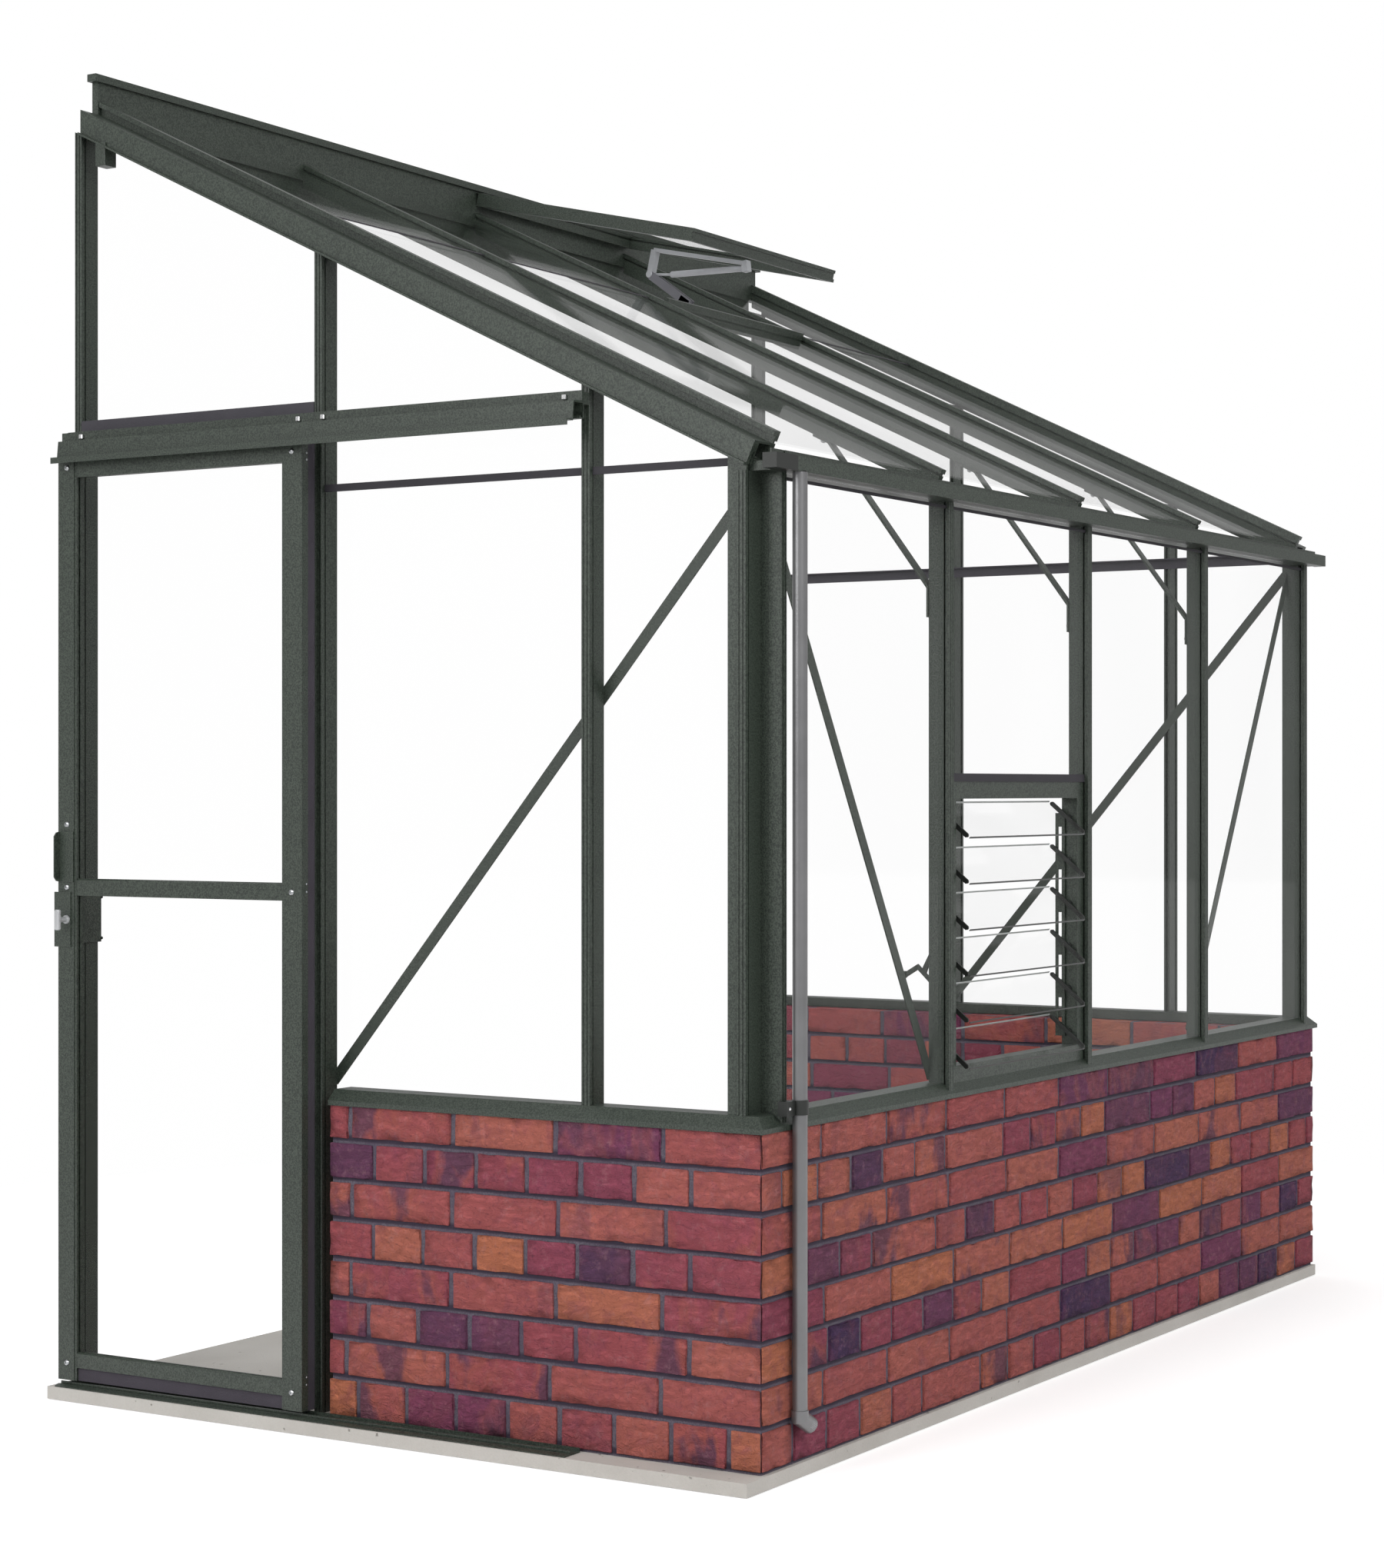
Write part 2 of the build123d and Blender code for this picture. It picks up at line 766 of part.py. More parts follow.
export_step(gutter_floor.part, "parts/gutter_floor.step")

with BuildPart() as gutter:
    with BuildSketch(Plane((gutter_start, 0, eaves), x_dir=(0, 1, 0), z_dir=(1, 0, 0))):
        Polygon(
            (gutter_front, gutter_wall),
            (gutter_front, gutter_height),
            (gutter_front + gutter_lip, gutter_height),
            (gutter_front + gutter_lip, gutter_height - gutter_wall),
            (gutter_front + gutter_wall, gutter_height - gutter_wall),
            (gutter_front + gutter_wall, gutter_wall),
            align=None,
        )
        with Locations((gutter_back, gutter_wall)):
            Rectangle(gutter_wall, eaves_beam_upstand - gutter_wall, align=(Align.MAX, Align.MIN))
    extrude(amount=gutter_length)
gutter.part.label = "gutter"
export_step(gutter.part, "parts/gutter.step")

# Moulded gutter ends: a hollow outlet at the door end and a flat stop end at the far end
with BuildPart() as gutter_outlet:
    with BuildSketch(Plane((gutter_start - outlet_length, 0, eaves), x_dir=(0, 1, 0), z_dir=(1, 0, 0))):
        with Locations((gutter_front, 0)):
            Rectangle(gutter_width, gutter_height, align=(Align.MIN, Align.MIN))
    extrude(amount=outlet_length)
    offset(amount=-gutter_wall, openings=gutter_outlet.faces().sort_by(Axis.X)[-1])
    with BuildSketch(Plane((frame_right - gutter_wall, 0, eaves), x_dir=(0, 1, 0), z_dir=(1, 0, 0))):
        with Locations((gutter_front, 0)):
            Rectangle(gutter_width, gutter_height, align=(Align.MIN, Align.MIN))
    extrude(amount=gutter_wall)
gutter_outlet.part.label = "gutter_outlet"
export_step(gutter_outlet.part, "parts/gutter_outlet.step")

# Downpipe, its clip on the corner post, and the elbow at its foot
pipe_foot = slab_thickness + pipe_bottom
with BuildPart() as downpipe:
    with BuildSketch(Plane.XY.offset(pipe_foot)):
        with Locations((pipe_x, pipe_y)):
            Circle(pipe_diameter / 2)
            Circle(pipe_diameter / 2 - pipe_wall, mode=Mode.SUBTRACT)
    extrude(amount=eaves - pipe_foot)
downpipe.part.label = "downpipe"
export_step(downpipe.part, "parts/downpipe.step")

# The elbow is a socket and a shoe, mitred where they meet
elbow_z = pipe_foot - elbow_socket
half_turn = radians(elbow_turn) / 2
mitre_plane = Plane((pipe_x, pipe_y, elbow_z), x_dir=(0, 1, 0), z_dir=(sin(half_turn), 0, -cos(half_turn)))
shoe_plane = Plane(
    (pipe_x, pipe_y, elbow_z),
    x_dir=(0, 1, 0),
    z_dir=(sin(radians(elbow_turn)), 0, -cos(radians(elbow_turn))),
)
with BuildSketch() as elbow_ring:
    Circle(elbow_diameter / 2)
    Circle(pipe_diameter / 2 - pipe_wall, mode=Mode.SUBTRACT)

with BuildPart() as elbow_shoe:
    with BuildSketch(shoe_plane.offset(-elbow_diameter)):
        add(elbow_ring.sketch)
    extrude(amount=elbow_diameter + elbow_run)
    split(bisect_by=mitre_plane, keep=Keep.TOP)

with BuildPart() as downpipe_elbow:
    with BuildSketch(Plane((pipe_x, pipe_y, pipe_foot), x_dir=(0, 1, 0), z_dir=(0, 0, -1))):
        add(elbow_ring.sketch)
    extrude(amount=elbow_socket + elbow_diameter)
    split(bisect_by=mitre_plane, keep=Keep.BOTTOM)
    add(elbow_shoe.part)
downpipe_elbow.part.label = "downpipe_elbow"
export_step(downpipe_elbow.part, "parts/downpipe_elbow.step")

clip_z = slab_thickness + clip_bottom
with BuildPart() as downpipe_clip:
    with BuildSketch(Plane.XY.offset(clip_z)):
        with Locations((pipe_x, pipe_y)):
            Circle(pipe_diameter / 2 + clip_wall)
        with Locations((front_bar_x[0] + bar_width / 2, frame_front)):
            Rectangle(
                pipe_x - front_bar_x[0] + bar_width / 2,
                frame_front - pipe_y,
                align=(Align.MAX, Align.MAX),
            )
        with Locations((pipe_x, pipe_y)):
            Circle(pipe_diameter / 2 + glass_fit, mode=Mode.SUBTRACT)
    extrude(amount=clip_height)
downpipe_clip.part.label = "downpipe_clip"
export_step(downpipe_clip.part, "parts/downpipe_clip.step")

# Fixed glass. Each pane sits between the cap and the body of its bars
pane_edge = neck_width / 2 + glass_edge_gap
front_glass_y = frame_front + glass_depth
louvre_head = slab_thickness + louvre_top
with BuildPart() as front_glass:
    for bay in range(front_bays):
        pane_foot = louvre_head + louvre_strip_height if bay == bays_before_louvre else sill_top
        with BuildSketch(Plane.XY.offset(pane_foot + glass_fit)):
            with Locations((front_bar_x[bay] + pane_edge, front_glass_y)):
                Rectangle(
                    front_pitch - 2 * pane_edge,
                    glass_thickness,
                    align=(Align.MIN, Align.MIN),
                )
        extrude(amount=eaves - pane_foot - 2 * glass_fit)
front_glass.part.label = "front_glass"
export_step(front_glass.part, "parts/front_glass.step")


# The end glass reaches halfway up its groove in the rafter's skirt
tuck = skirt_end - (rafter_skirt - rafter_skirt_top) / 2


def pane_outline(start, end, foot):
    # A pane in an end wall whose top edge follows the rafter
    return [
        (start, foot),
        (end, foot),
        (end, roof_height(end, tuck)),
        (start, roof_height(start, tuck)),
    ]


def pane_box(start, end, foot, head):
    return [(start, foot), (end, foot), (end, head), (start, head)]


strip_foot = slab_thickness + tie_strip_bottom
strip_head = strip_foot + tie_strip_height
transom_foot = slab_thickness + transom_bottom
transom_head = transom_foot + transom_height
side_bays = [
    (side_corner_y + pane_edge, side_bar_y[0] - pane_edge),
    (side_bar_y[0] + pane_edge, side_bar_y[1] - pane_edge),
    (side_bar_y[1] + pane_edge, rear_bar_y - pane_edge),
]
left_glass_plane = Plane((frame_left + glass_depth, 0, 0), x_dir=(0, 1, 0), z_dir=(1, 0, 0))
right_glass_plane = Plane(
    (frame_right - glass_depth - glass_thickness, 0, 0), x_dir=(0, 1, 0), z_dir=(1, 0, 0)
)
with BuildPart() as door_side_glass:
    with BuildSketch(left_glass_plane):
        for start, end in side_bays[:2]:
            Polygon(*pane_box(start, end, sill_top + glass_fit, strip_foot - glass_fit), align=None)
            Polygon(*pane_outline(start, end, strip_head + glass_fit), align=None)
        Polygon(*pane_outline(*side_bays[2], transom_head + glass_fit), align=None)
    extrude(amount=glass_thickness)
door_side_glass.part.label = "door_side_glass"
export_step(door_side_glass.part, "parts/door_side_glass.step")

with BuildPart() as far_side_glass:
    with BuildSketch(right_glass_plane):
        for start, end in side_bays:
            Polygon(*pane_box(start, end, sill_top + glass_fit, strip_foot - glass_fit), align=None)
            Polygon(*pane_outline(start, end, strip_head + glass_fit), align=None)
    extrude(amount=glass_thickness)
far_side_glass.part.label = "far_side_glass"
export_step(far_side_glass.part, "parts/far_side_glass.step")

# Strips that join the upper and lower end panes, held in the same grooves as the glass
strip_clear_y = roof_start_y + (strip_head + skirt_end / pitch_cos - roof_start_z) / pitch_tan
strip_starts = [strip_clear_y, side_bays[1][0], side_bays[2][0]]
with BuildPart() as glass_joint_strips:
    with BuildSketch(Plane.XY.offset(strip_foot)):
        for start, (_, end) in zip(strip_starts[:2], side_bays[:2]):
            with Locations((frame_left + cap_depth, start)):
                Rectangle(groove_width, end - start, align=(Align.MIN, Align.MIN))
        for start, (_, end) in zip(strip_starts, side_bays):
            with Locations((frame_right - cap_depth, start)):
                Rectangle(groove_width, end - start, align=(Align.MAX, Align.MIN))
    extrude(amount=tie_strip_height)
glass_joint_strips.part.label = "glass_joint_strips"
export_step(glass_joint_strips.part, "parts/glass_joint_strips.step")

# Roof glass, laid between the bars; the third bay stops at the vent sill
roof_glass_top = roof_length - bar_depth * pitch_sin
vent_cos = cos(radians(vent_angle))
vent_sin = sin(radians(vent_angle))
vent_top_y = ridge_face - vent_hinge_gap - vent_thickness * vent_sin
vent_top_z = ridge_line + vent_hinge_rise
vent_sill_y = vent_top_y - vent_length * vent_cos + vent_sill_overhang
vent_sill_along = (vent_sill_y - roof_start_y) / pitch_cos
with BuildPart() as roof_glass:
    for bay in range(front_bays):
        bay_top = vent_sill_along if bay == bays_before_vent else roof_glass_top
        start = front_bar_x[bay] + pane_edge
        with BuildSketch(roof_bar_plane(start)):
            with Locations((0, glass_depth)):
                Rectangle(
                    front_pitch - 2 * pane_edge, glass_thickness, align=(Align.MIN, Align.MIN)
                )
        extrude(amount=bay_top)
roof_glass.part.label = "roof_glass"
export_step(roof_glass.part, "parts/roof_glass.step")

# Angle across the far end at eaves height, bolted to the inner face of the posts
far_tie_foot = slab_thickness + far_tie_bottom
far_tie_x = frame_right - bar_depth
far_tie_clear = far_tie_foot + far_tie_height + bar_depth / pitch_cos - roof_start_z
far_tie_start = roof_start_y + far_tie_clear / pitch_tan
with BuildPart() as far_side_tie:
    with BuildSketch(Plane((0, far_tie_start, far_tie_foot), x_dir=(1, 0, 0), z_dir=(0, -1, 0))):
        with BuildLine():
            Polyline(
                (far_tie_x, 0),
                (far_tie_x - far_tie_sheet, 0),
                (far_tie_x - far_tie_sheet, far_tie_height - far_tie_sheet),
                (far_tie_x - far_tie_depth, far_tie_height - far_tie_sheet),
                (far_tie_x - far_tie_depth, far_tie_height),
                (far_tie_x, far_tie_height),
                close=True,
            )
        make_face()
    extrude(amount=far_tie_start - wall_plane)
far_side_tie.part.label = "far_side_tie"
export_step(far_side_tie.part, "parts/far_side_tie.step")


def brace_points(start, foot, end, head):
    # A flat brace of even width between two points, as a sketch outline
    length = hypot(end - start, head - foot)
    across = brace_width / 2 * (head - foot) / length
    along = brace_width / 2 * (end - start) / length
    return [
        (start - across, foot + along),
        (start + across, foot - along),
        (end + across, head - along),
        (end - across, head + along),
    ]


# Flat diagonal braces on the inner faces of the posts
brace_low = sill_top + brace_foot_rise
brace_high = eaves - brace_head_drop
post_y = frame_front + bar_depth
with BuildPart() as front_braces:
    with BuildSketch(Plane((0, post_y, 0), x_dir=(1, 0, 0), z_dir=(0, -1, 0))):
        Polygon(*brace_points(front_bar_x[1], brace_low, front_bar_x[0], brace_high), align=None)
        Polygon(*brace_points(front_bar_x[-2], brace_low, front_bar_x[-1], brace_high), align=None)
    extrude(amount=-brace_thickness)
    split(bisect_by=Plane.YZ.offset(front_bar_x[0] + half_body), keep=Keep.TOP)
    split(bisect_by=Plane.YZ.offset(front_bar_x[-1] - half_body), keep=Keep.BOTTOM)
front_braces.part.label = "front_braces"
export_step(front_braces.part, "parts/front_braces.step")

side_brace_end = side_corner_y + half_body
with BuildPart() as side_braces:
    with BuildSketch(Plane((frame_left + bar_depth, 0, 0), x_dir=(0, 1, 0), z_dir=(1, 0, 0))):
        Polygon(*brace_points(side_bar_y[1], brace_low, side_brace_end, brace_high), align=None)
    extrude(amount=brace_thickness)
    with BuildSketch(Plane((far_tie_x, 0, 0), x_dir=(0, 1, 0), z_dir=(1, 0, 0))):
        Polygon(*brace_points(side_bar_y[1], brace_low, side_brace_end, brace_high), align=None)
    extrude(amount=-brace_thickness)
side_braces.part.label = "side_braces"
export_step(side_braces.part, "parts/side_braces.step")

# Bent knee braces from the three front posts up to the roof bars
knee_y = brick_front + knee_reach
knee_under = bar_depth + knee_thickness
knee_in = knee_y + knee_thickness / 2
knee_out = knee_y - knee_thickness / 2
knee_end = knee_y + knee_pad
with BuildPart() as knee_braces:
    for bar_x in front_bar_x[1:-1]:
        with BuildSketch(Plane((bar_x - knee_width / 2, 0, 0), x_dir=(0, 1, 0), z_dir=(1, 0, 0))):
            with BuildLine():
                Polyline(
                    (post_y, slab_thickness + knee_foot),
                    (post_y + knee_thickness, slab_thickness + knee_foot),
                    (post_y + knee_thickness, slab_thickness + knee_bend),
                    (knee_in, roof_height(knee_in, knee_under)),
                    (knee_end, roof_height(knee_end, knee_under)),
                    (knee_end, roof_height(knee_end, bar_depth)),
                    (knee_out, roof_height(knee_out, bar_depth)),
                    (post_y, slab_thickness + knee_bend + knee_thickness),
                    close=True,
                )
            make_face()
        extrude(amount=knee_width)
knee_braces.part.label = "knee_braces"
export_step(knee_braces.part, "parts/knee_braces.step")

# Louvre window frame, seated over the sill between two posts
louvre_left = front_bar_x[bays_before_louvre] + half_cap + glass_fit
louvre_width = front_pitch - bar_width - 2 * glass_fit
louvre_front = frame_front + louvre_setback
louvre_centre_x = louvre_left + louvre_width / 2
louvre_opening_foot = slab_thickness + louvre_bottom_rail_top
louvre_opening_head = louvre_head - louvre_top_rail
with BuildPart() as louvre_frame:
    with BuildSketch(Plane((louvre_centre_x, louvre_front, 0), x_dir=(1, 0, 0), z_dir=(0, -1, 0))):
        with Locations((0, wall_top)):
            Rectangle(louvre_width, louvre_head - wall_top, align=(Align.CENTER, Align.MIN))
        with Locations((0, louvre_opening_foot)):
            Rectangle(
                louvre_width - 2 * louvre_stile,
                louvre_opening_head - louvre_opening_foot,
                align=(Align.CENTER, Align.MIN),
                mode=Mode.SUBTRACT,
            )
    extrude(amount=-louvre_depth)
    with BuildSketch(front_sill_plane):
        add(sill_section.sketch)
    extrude(amount=front_sill_length, mode=Mode.SUBTRACT)
louvre_frame.part.label = "louvre_frame"
export_step(louvre_frame.part, "parts/louvre_frame.step")

# Strip between the louvre frame and the pane above it
with BuildPart() as louvre_head_strip:
    with BuildSketch(Plane.XY.offset(louvre_head)):
        with Locations((louvre_left, frame_front + cap_depth)):
            Rectangle(louvre_width, groove_width + cap_depth, align=(Align.MIN, Align.MIN))
    extrude(amount=louvre_strip_height)
louvre_head_strip.part.label = "louvre_head_strip"
export_step(louvre_head_strip.part, "parts/louvre_head_strip.step")

# Louvre blades: six sheets of glass tilted to shed rain, each in a clip at both ends
blade_cos = cos(radians(blade_angle))
blade_sin = sin(radians(blade_angle))
blade_pivot_y = louvre_front + louvre_depth / 2
blade_inset = louvre_stile + blade_clip_gap
blade_length = louvre_width - 2 * (blade_inset + blade_clip_thickness + glass_fit)
blade_z = [slab_thickness + blade_first + blade_pitch * i for i in range(blade_count)]


def blade_plane(x, z):
    return Plane((x, blade_pivot_y, z), x_dir=(0, blade_cos, blade_sin), z_dir=(1, 0, 0))


def chamfered_bar(length, height, chamfer):
    # The outline of a bar about its middle, with its four corners cut off
    x, y = length / 2, height / 2
    return [
        (chamfer - x, -y),
        (x - chamfer, -y),
        (x, chamfer - y),
        (x, y - chamfer),
        (x - chamfer, y),
        (chamfer - x, y),
        (-x, y - chamfer),
        (-x, chamfer - y),
    ]


with BuildPart() as louvre_blades:
    for z in blade_z:
        with BuildSketch(blade_plane(louvre_centre_x - blade_length / 2, z)):
            Polygon(*chamfered_bar(blade_width, blade_thickness, blade_edge), align=None)
        extrude(amount=blade_length)
louvre_blades.part.label = "louvre_blades"
export_step(louvre_blades.part, "parts/louvre_blades.step")

# Each clip turns on a six-sided hub against the stile
clip_left_x = louvre_left + blade_inset
clip_right_x = louvre_left + louvre_width - blade_inset - blade_clip_thickness
hub_left_x = louvre_left + louvre_stile
hub_right_x = clip_right_x + blade_clip_thickness
with BuildPart() as louvre_clips:
    for z in blade_z:
        for clip_x in (clip_left_x, clip_right_x):
            with BuildSketch(blade_plane(clip_x, z)):
                Polygon(
                    *chamfered_bar(blade_clip_length, blade_clip_height, blade_clip_chamfer), align=None
                )
            extrude(amount=blade_clip_thickness)
        for hub_x in (hub_left_x, hub_right_x):
            with BuildSketch(blade_plane(hub_x, z)):
                RegularPolygon(blade_hub, 6)
            extrude(amount=blade_clip_gap)
louvre_clips.part.label = "louvre_clips"
export_step(louvre_clips.part, "parts/louvre_clips.step")

# Slotted link that turns the blades together, held off the right stile by two feet
link_end_y = louvre_front + louvre_depth + link_back
link_foot = blade_z[0] - link_overrun
link_head = blade_z[-1] + link_overrun
link_x = hub_right_x + blade_clip_gap - link_standoff
with BuildPart() as louvre_link:
    with BuildSketch(Plane((link_x, 0, 0), x_dir=(0, 1, 0), z_dir=(-1, 0, 0))):
        with Locations((link_end_y, -link_foot)):
            Rectangle(link_width, link_head - link_foot, align=(Align.MAX, Align.MAX))
        for low_z, high_z in zip(blade_z, blade_z[1:]):
            with Locations((link_end_y - link_width / 2, -(low_z + high_z) / 2)):
                Rectangle(link_slot_width, link_slot_height, mode=Mode.SUBTRACT)
    extrude(amount=link_sheet)
    with BuildSketch(Plane((link_x, 0, 0), x_dir=(0, 1, 0), z_dir=(1, 0, 0))):
        for foot_z in (link_foot, link_head - link_foot_height):
            with Locations((link_end_y - link_back, foot_z)):
                Rectangle(link_width - link_back, link_foot_height, align=(Align.MAX, Align.MIN))
    extrude(amount=link_standoff)
louvre_link.part.label = "louvre_link"
export_step(louvre_link.part, "parts/louvre_link.step")

# Louvre lever, bent over its strut, with a knob, on the inner side of the left stile
lever_z = slab_thickness + lever_height
lever_y = louvre_front + louvre_depth
lever_end_y = lever_y + lever_reach
lever_end_z = lever_z + lever_rise / 2
lever_plane = Plane((louvre_left, 0, 0), x_dir=(0, 1, 0), z_dir=(1, 0, 0))
knob_x = louvre_left + lever_thickness / 2
knob_z = lever_end_z + lever_width / 2
with BuildPart() as louvre_lever:
    with BuildSketch(lever_plane):
        Polygon(
            (lever_y, lever_z),
            (lever_y + lever_elbow, lever_z + lever_rise),
            (lever_end_y, lever_end_z),
            (lever_end_y, lever_end_z + lever_width),
            (lever_y + lever_elbow, lever_z + lever_rise + lever_width),
            (lever_y, lever_z + lever_width),
            align=None,
        )
        Polygon(
            (lever_y, lever_z + lever_strut_height),
            (lever_y + lever_elbow / 2, lever_z + lever_rise / 2 + lever_width / 2),
            (lever_y + lever_elbow / 2 + lever_width, lever_z + lever_rise / 2 + lever_width),
            (lever_y, lever_z + lever_strut_height + lever_width),
            align=None,
        )
    extrude(amount=lever_thickness)
    with BuildSketch(Plane((knob_x, lever_end_y, knob_z), z_dir=(0, 1, 0))):
        Circle(knob_diameter / 2)
    extrude(amount=knob_length)
louvre_lever.part.label = "louvre_lever"
export_step(louvre_lever.part, "parts/louvre_lever.step")

# Roof vent, hinged on the ridge beam and standing open over one bay
vent_left = front_bar_x[bays_before_vent] - half_body
vent_width = front_pitch + body_width
vent_plane = Plane(
    (vent_left + vent_width / 2, vent_top_y, vent_top_z),
    x_dir=(-1, 0, 0),
    z_dir=(0, -vent_sin, vent_cos),
)
with BuildPart() as vent_frame:
    with BuildSketch(vent_plane):
        Rectangle(vent_width, vent_length, align=(Align.CENTER, Align.MIN))
        with Locations((0, vent_rail)):
            Rectangle(
                vent_width - 2 * vent_rail,
                vent_length - 2 * vent_rail,
                align=(Align.CENTER, Align.MIN),
                mode=Mode.SUBTRACT,
            )
    extrude(amount=-vent_thickness)
    with BuildSketch(vent_plane.offset(-vent_glass_drop)):
        with Locations((0, vent_rail - pane_rebate)):
            Rectangle(
                vent_width - 2 * (vent_rail - pane_rebate),
                vent_length - 2 * (vent_rail - pane_rebate),
                align=(Align.CENTER, Align.MIN),
            )
    extrude(amount=-groove_width, mode=Mode.SUBTRACT)
    with BuildSketch(vent_plane.offset(-vent_thickness / 2 - vent_groove_height / 2)):
        with Locations((0, vent_length)):
            Rectangle(vent_width, vent_groove_depth, align=(Align.CENTER, Align.MAX))
    extrude(amount=vent_groove_height, mode=Mode.SUBTRACT)
vent_frame.part.label = "vent_frame"
export_step(vent_frame.part, "parts/vent_frame.step")

vent_pane_inset = vent_rail - pane_rebate + glass_edge_gap
with BuildPart() as vent_glass:
    with BuildSketch(vent_plane.offset(-vent_glass_drop - glass_fit)):
        with Locations((0, vent_pane_inset)):
            Rectangle(
                vent_width - 2 * vent_pane_inset,
                vent_length - 2 * vent_pane_inset,
                align=(Align.CENTER, Align.MIN),
            )
    extrude(amount=-glass_thickness)
vent_glass.part.label = "vent_glass"
export_step(vent_glass.part, "parts/vent_glass.step")

# Hinge strip that carries the vent on the ridge beam
hinge_end_y = vent_top_y - vent_hinge_reach * vent_cos
hinge_end_z = vent_top_z - vent_hinge_reach * vent_sin
with BuildPart() as vent_hinge:
    with BuildSketch(Plane((vent_left, 0, 0), x_dir=(0, 1, 0), z_dir=(1, 0, 0))):
        with BuildLine():
            Polyline(
                (ridge_face, vent_top_z),
                (ridge_face, vent_top_z + vent_hinge_sheet),
                (hinge_end_y, hinge_end_z + vent_hinge_sheet),
                (hinge_end_y, hinge_end_z),
                (vent_top_y, vent_top_z),
                close=True,
            )
        make_face()
    extrude(amount=vent_width)
vent_hinge.part.label = "vent_hinge"
export_step(vent_hinge.part, "parts/vent_hinge.step")

# Fixed sill bar under the vent's lower edge, standing up between two roof bars
sill_side_gap = half_cap - half_body + glass_fit
with BuildPart() as vent_sill:
    with BuildSketch(roof_bar_plane(front_bar_x[bays_before_vent] + half_body).offset(vent_sill_along)):
        with Locations((sill_side_gap, -vent_sill_rise)):
            Rectangle(
                front_pitch - body_width - 2 * sill_side_gap,
                vent_sill_rise + body_start,
                align=(Align.MIN, Align.MIN),
            )
        with Locations((0, body_start)):
            Rectangle(
                front_pitch - body_width,
                vent_sill_bottom - body_start,
                align=(Align.MIN, Align.MIN),
            )
    extrude(amount=vent_sill_thickness)
vent_sill.part.label = "vent_sill"
export_step(vent_sill.part, "parts/vent_sill.step")


def vent_point(along, below):
    # A point in the vent's side view: down its slope from the hinge, then below its top
    y = vent_top_y - along * vent_cos + below * vent_sin
    z = vent_top_z - along * vent_sin - below * vent_cos
    return y, z


# Automatic opener: a push bar and a cylinder side by side under the vent's low
# rail, joined by plates at a knuckle, and an arm down to the back of the sill bar
opener_x = front_bar_x[bays_before_vent] + opener_offset
bar_low = vent_length - opener_bar_end
bar_high = bar_low - opener_bar_length
bar_top = vent_thickness + opener_drop
bar_foot = bar_top + opener_bar
pivot_low = vent_thickness + opener_knuckle_drop
pivot = vent_point(bar_high - opener_knuckle_back, pivot_low)
knuckle_top = vent_point(bar_high, bar_foot)
tube_low = vent_point(bar_low, bar_foot + opener_tube_drop)
tube_axis = Vector(0, pivot[0] - tube_low[0], pivot[1] - tube_low[1]).normalized()
tube_length = hypot(pivot[0] - tube_low[0], pivot[1] - tube_low[1]) - opener_rod_length
sill_back = vent_sill_along + vent_sill_thickness
foot_top = roof_point(sill_back, opener_foot_top)
foot_bottom = roof_point(sill_back, opener_foot_bottom)
half_tube = opener_tube / 2
with BuildPart() as vent_opener:
    with BuildSketch(Plane((opener_x, 0, 0), x_dir=(0, 1, 0), z_dir=(1, 0, 0))):
        Polygon(
            vent_point(bar_low, bar_top),
            vent_point(bar_high, bar_top),
            vent_point(bar_high, bar_foot),
            vent_point(bar_low, bar_foot),
            align=None,
        )
        Polygon(
            vent_point(bar_low, vent_thickness),
            vent_point(bar_low - opener_arm_width, vent_thickness),
            vent_point(bar_low - opener_arm_width, bar_foot + opener_tube_drop),
            vent_point(bar_low, bar_foot + opener_tube_drop + half_tube),
            align=None,
        )
    extrude(amount=opener_half_width, both=True)
    with BuildSketch(Plane((opener_x + half_tube, 0, 0), x_dir=(0, 1, 0), z_dir=(1, 0, 0))):
        Polygon(
            vent_point(bar_high - opener_arm_width / 2, bar_top),
            vent_point(bar_high + opener_arm_width / 2, bar_top),
            (pivot[0] - opener_arm_width / 2, pivot[1] - opener_arm_width / 2),
            (pivot[0] + opener_arm_width / 2, pivot[1] - opener_arm_width / 2),
            align=None,
        )
        Polygon(foot_top, foot_bottom, (pivot[0] + half_tube, pivot[1] - half_tube), knuckle_top, align=None)
    extrude(amount=opener_plate)
    mirror(about=Plane.YZ.offset(opener_x))
    with BuildSketch(Plane((opener_x - opener_half_width, 0, 0), x_dir=(0, 1, 0), z_dir=(1, 0, 0))):
        with Locations(pivot):
            Circle(half_tube)
    extrude(amount=2 * opener_half_width)
    with BuildSketch(Plane((opener_x, *tube_low), x_dir=(1, 0, 0), z_dir=tube_axis)):
        Circle(half_tube)
    extrude(amount=tube_length)
    with BuildSketch(Plane((opener_x, *tube_low), x_dir=(1, 0, 0), z_dir=tube_axis)):
        Circle(opener_rod / 2)
    extrude(amount=tube_length + opener_rod_length)
vent_opener.part.label = "vent_opener"
export_step(vent_opener.part, "parts/vent_opener.step")

# Where the door hangs: it laps the door post and stops short of the house wall
door_x = brick_left - door_front
door_start = side_bar_y[1] - door_post_lap
door_end = wall_plane - door_end_gap
door_width = door_end - door_start

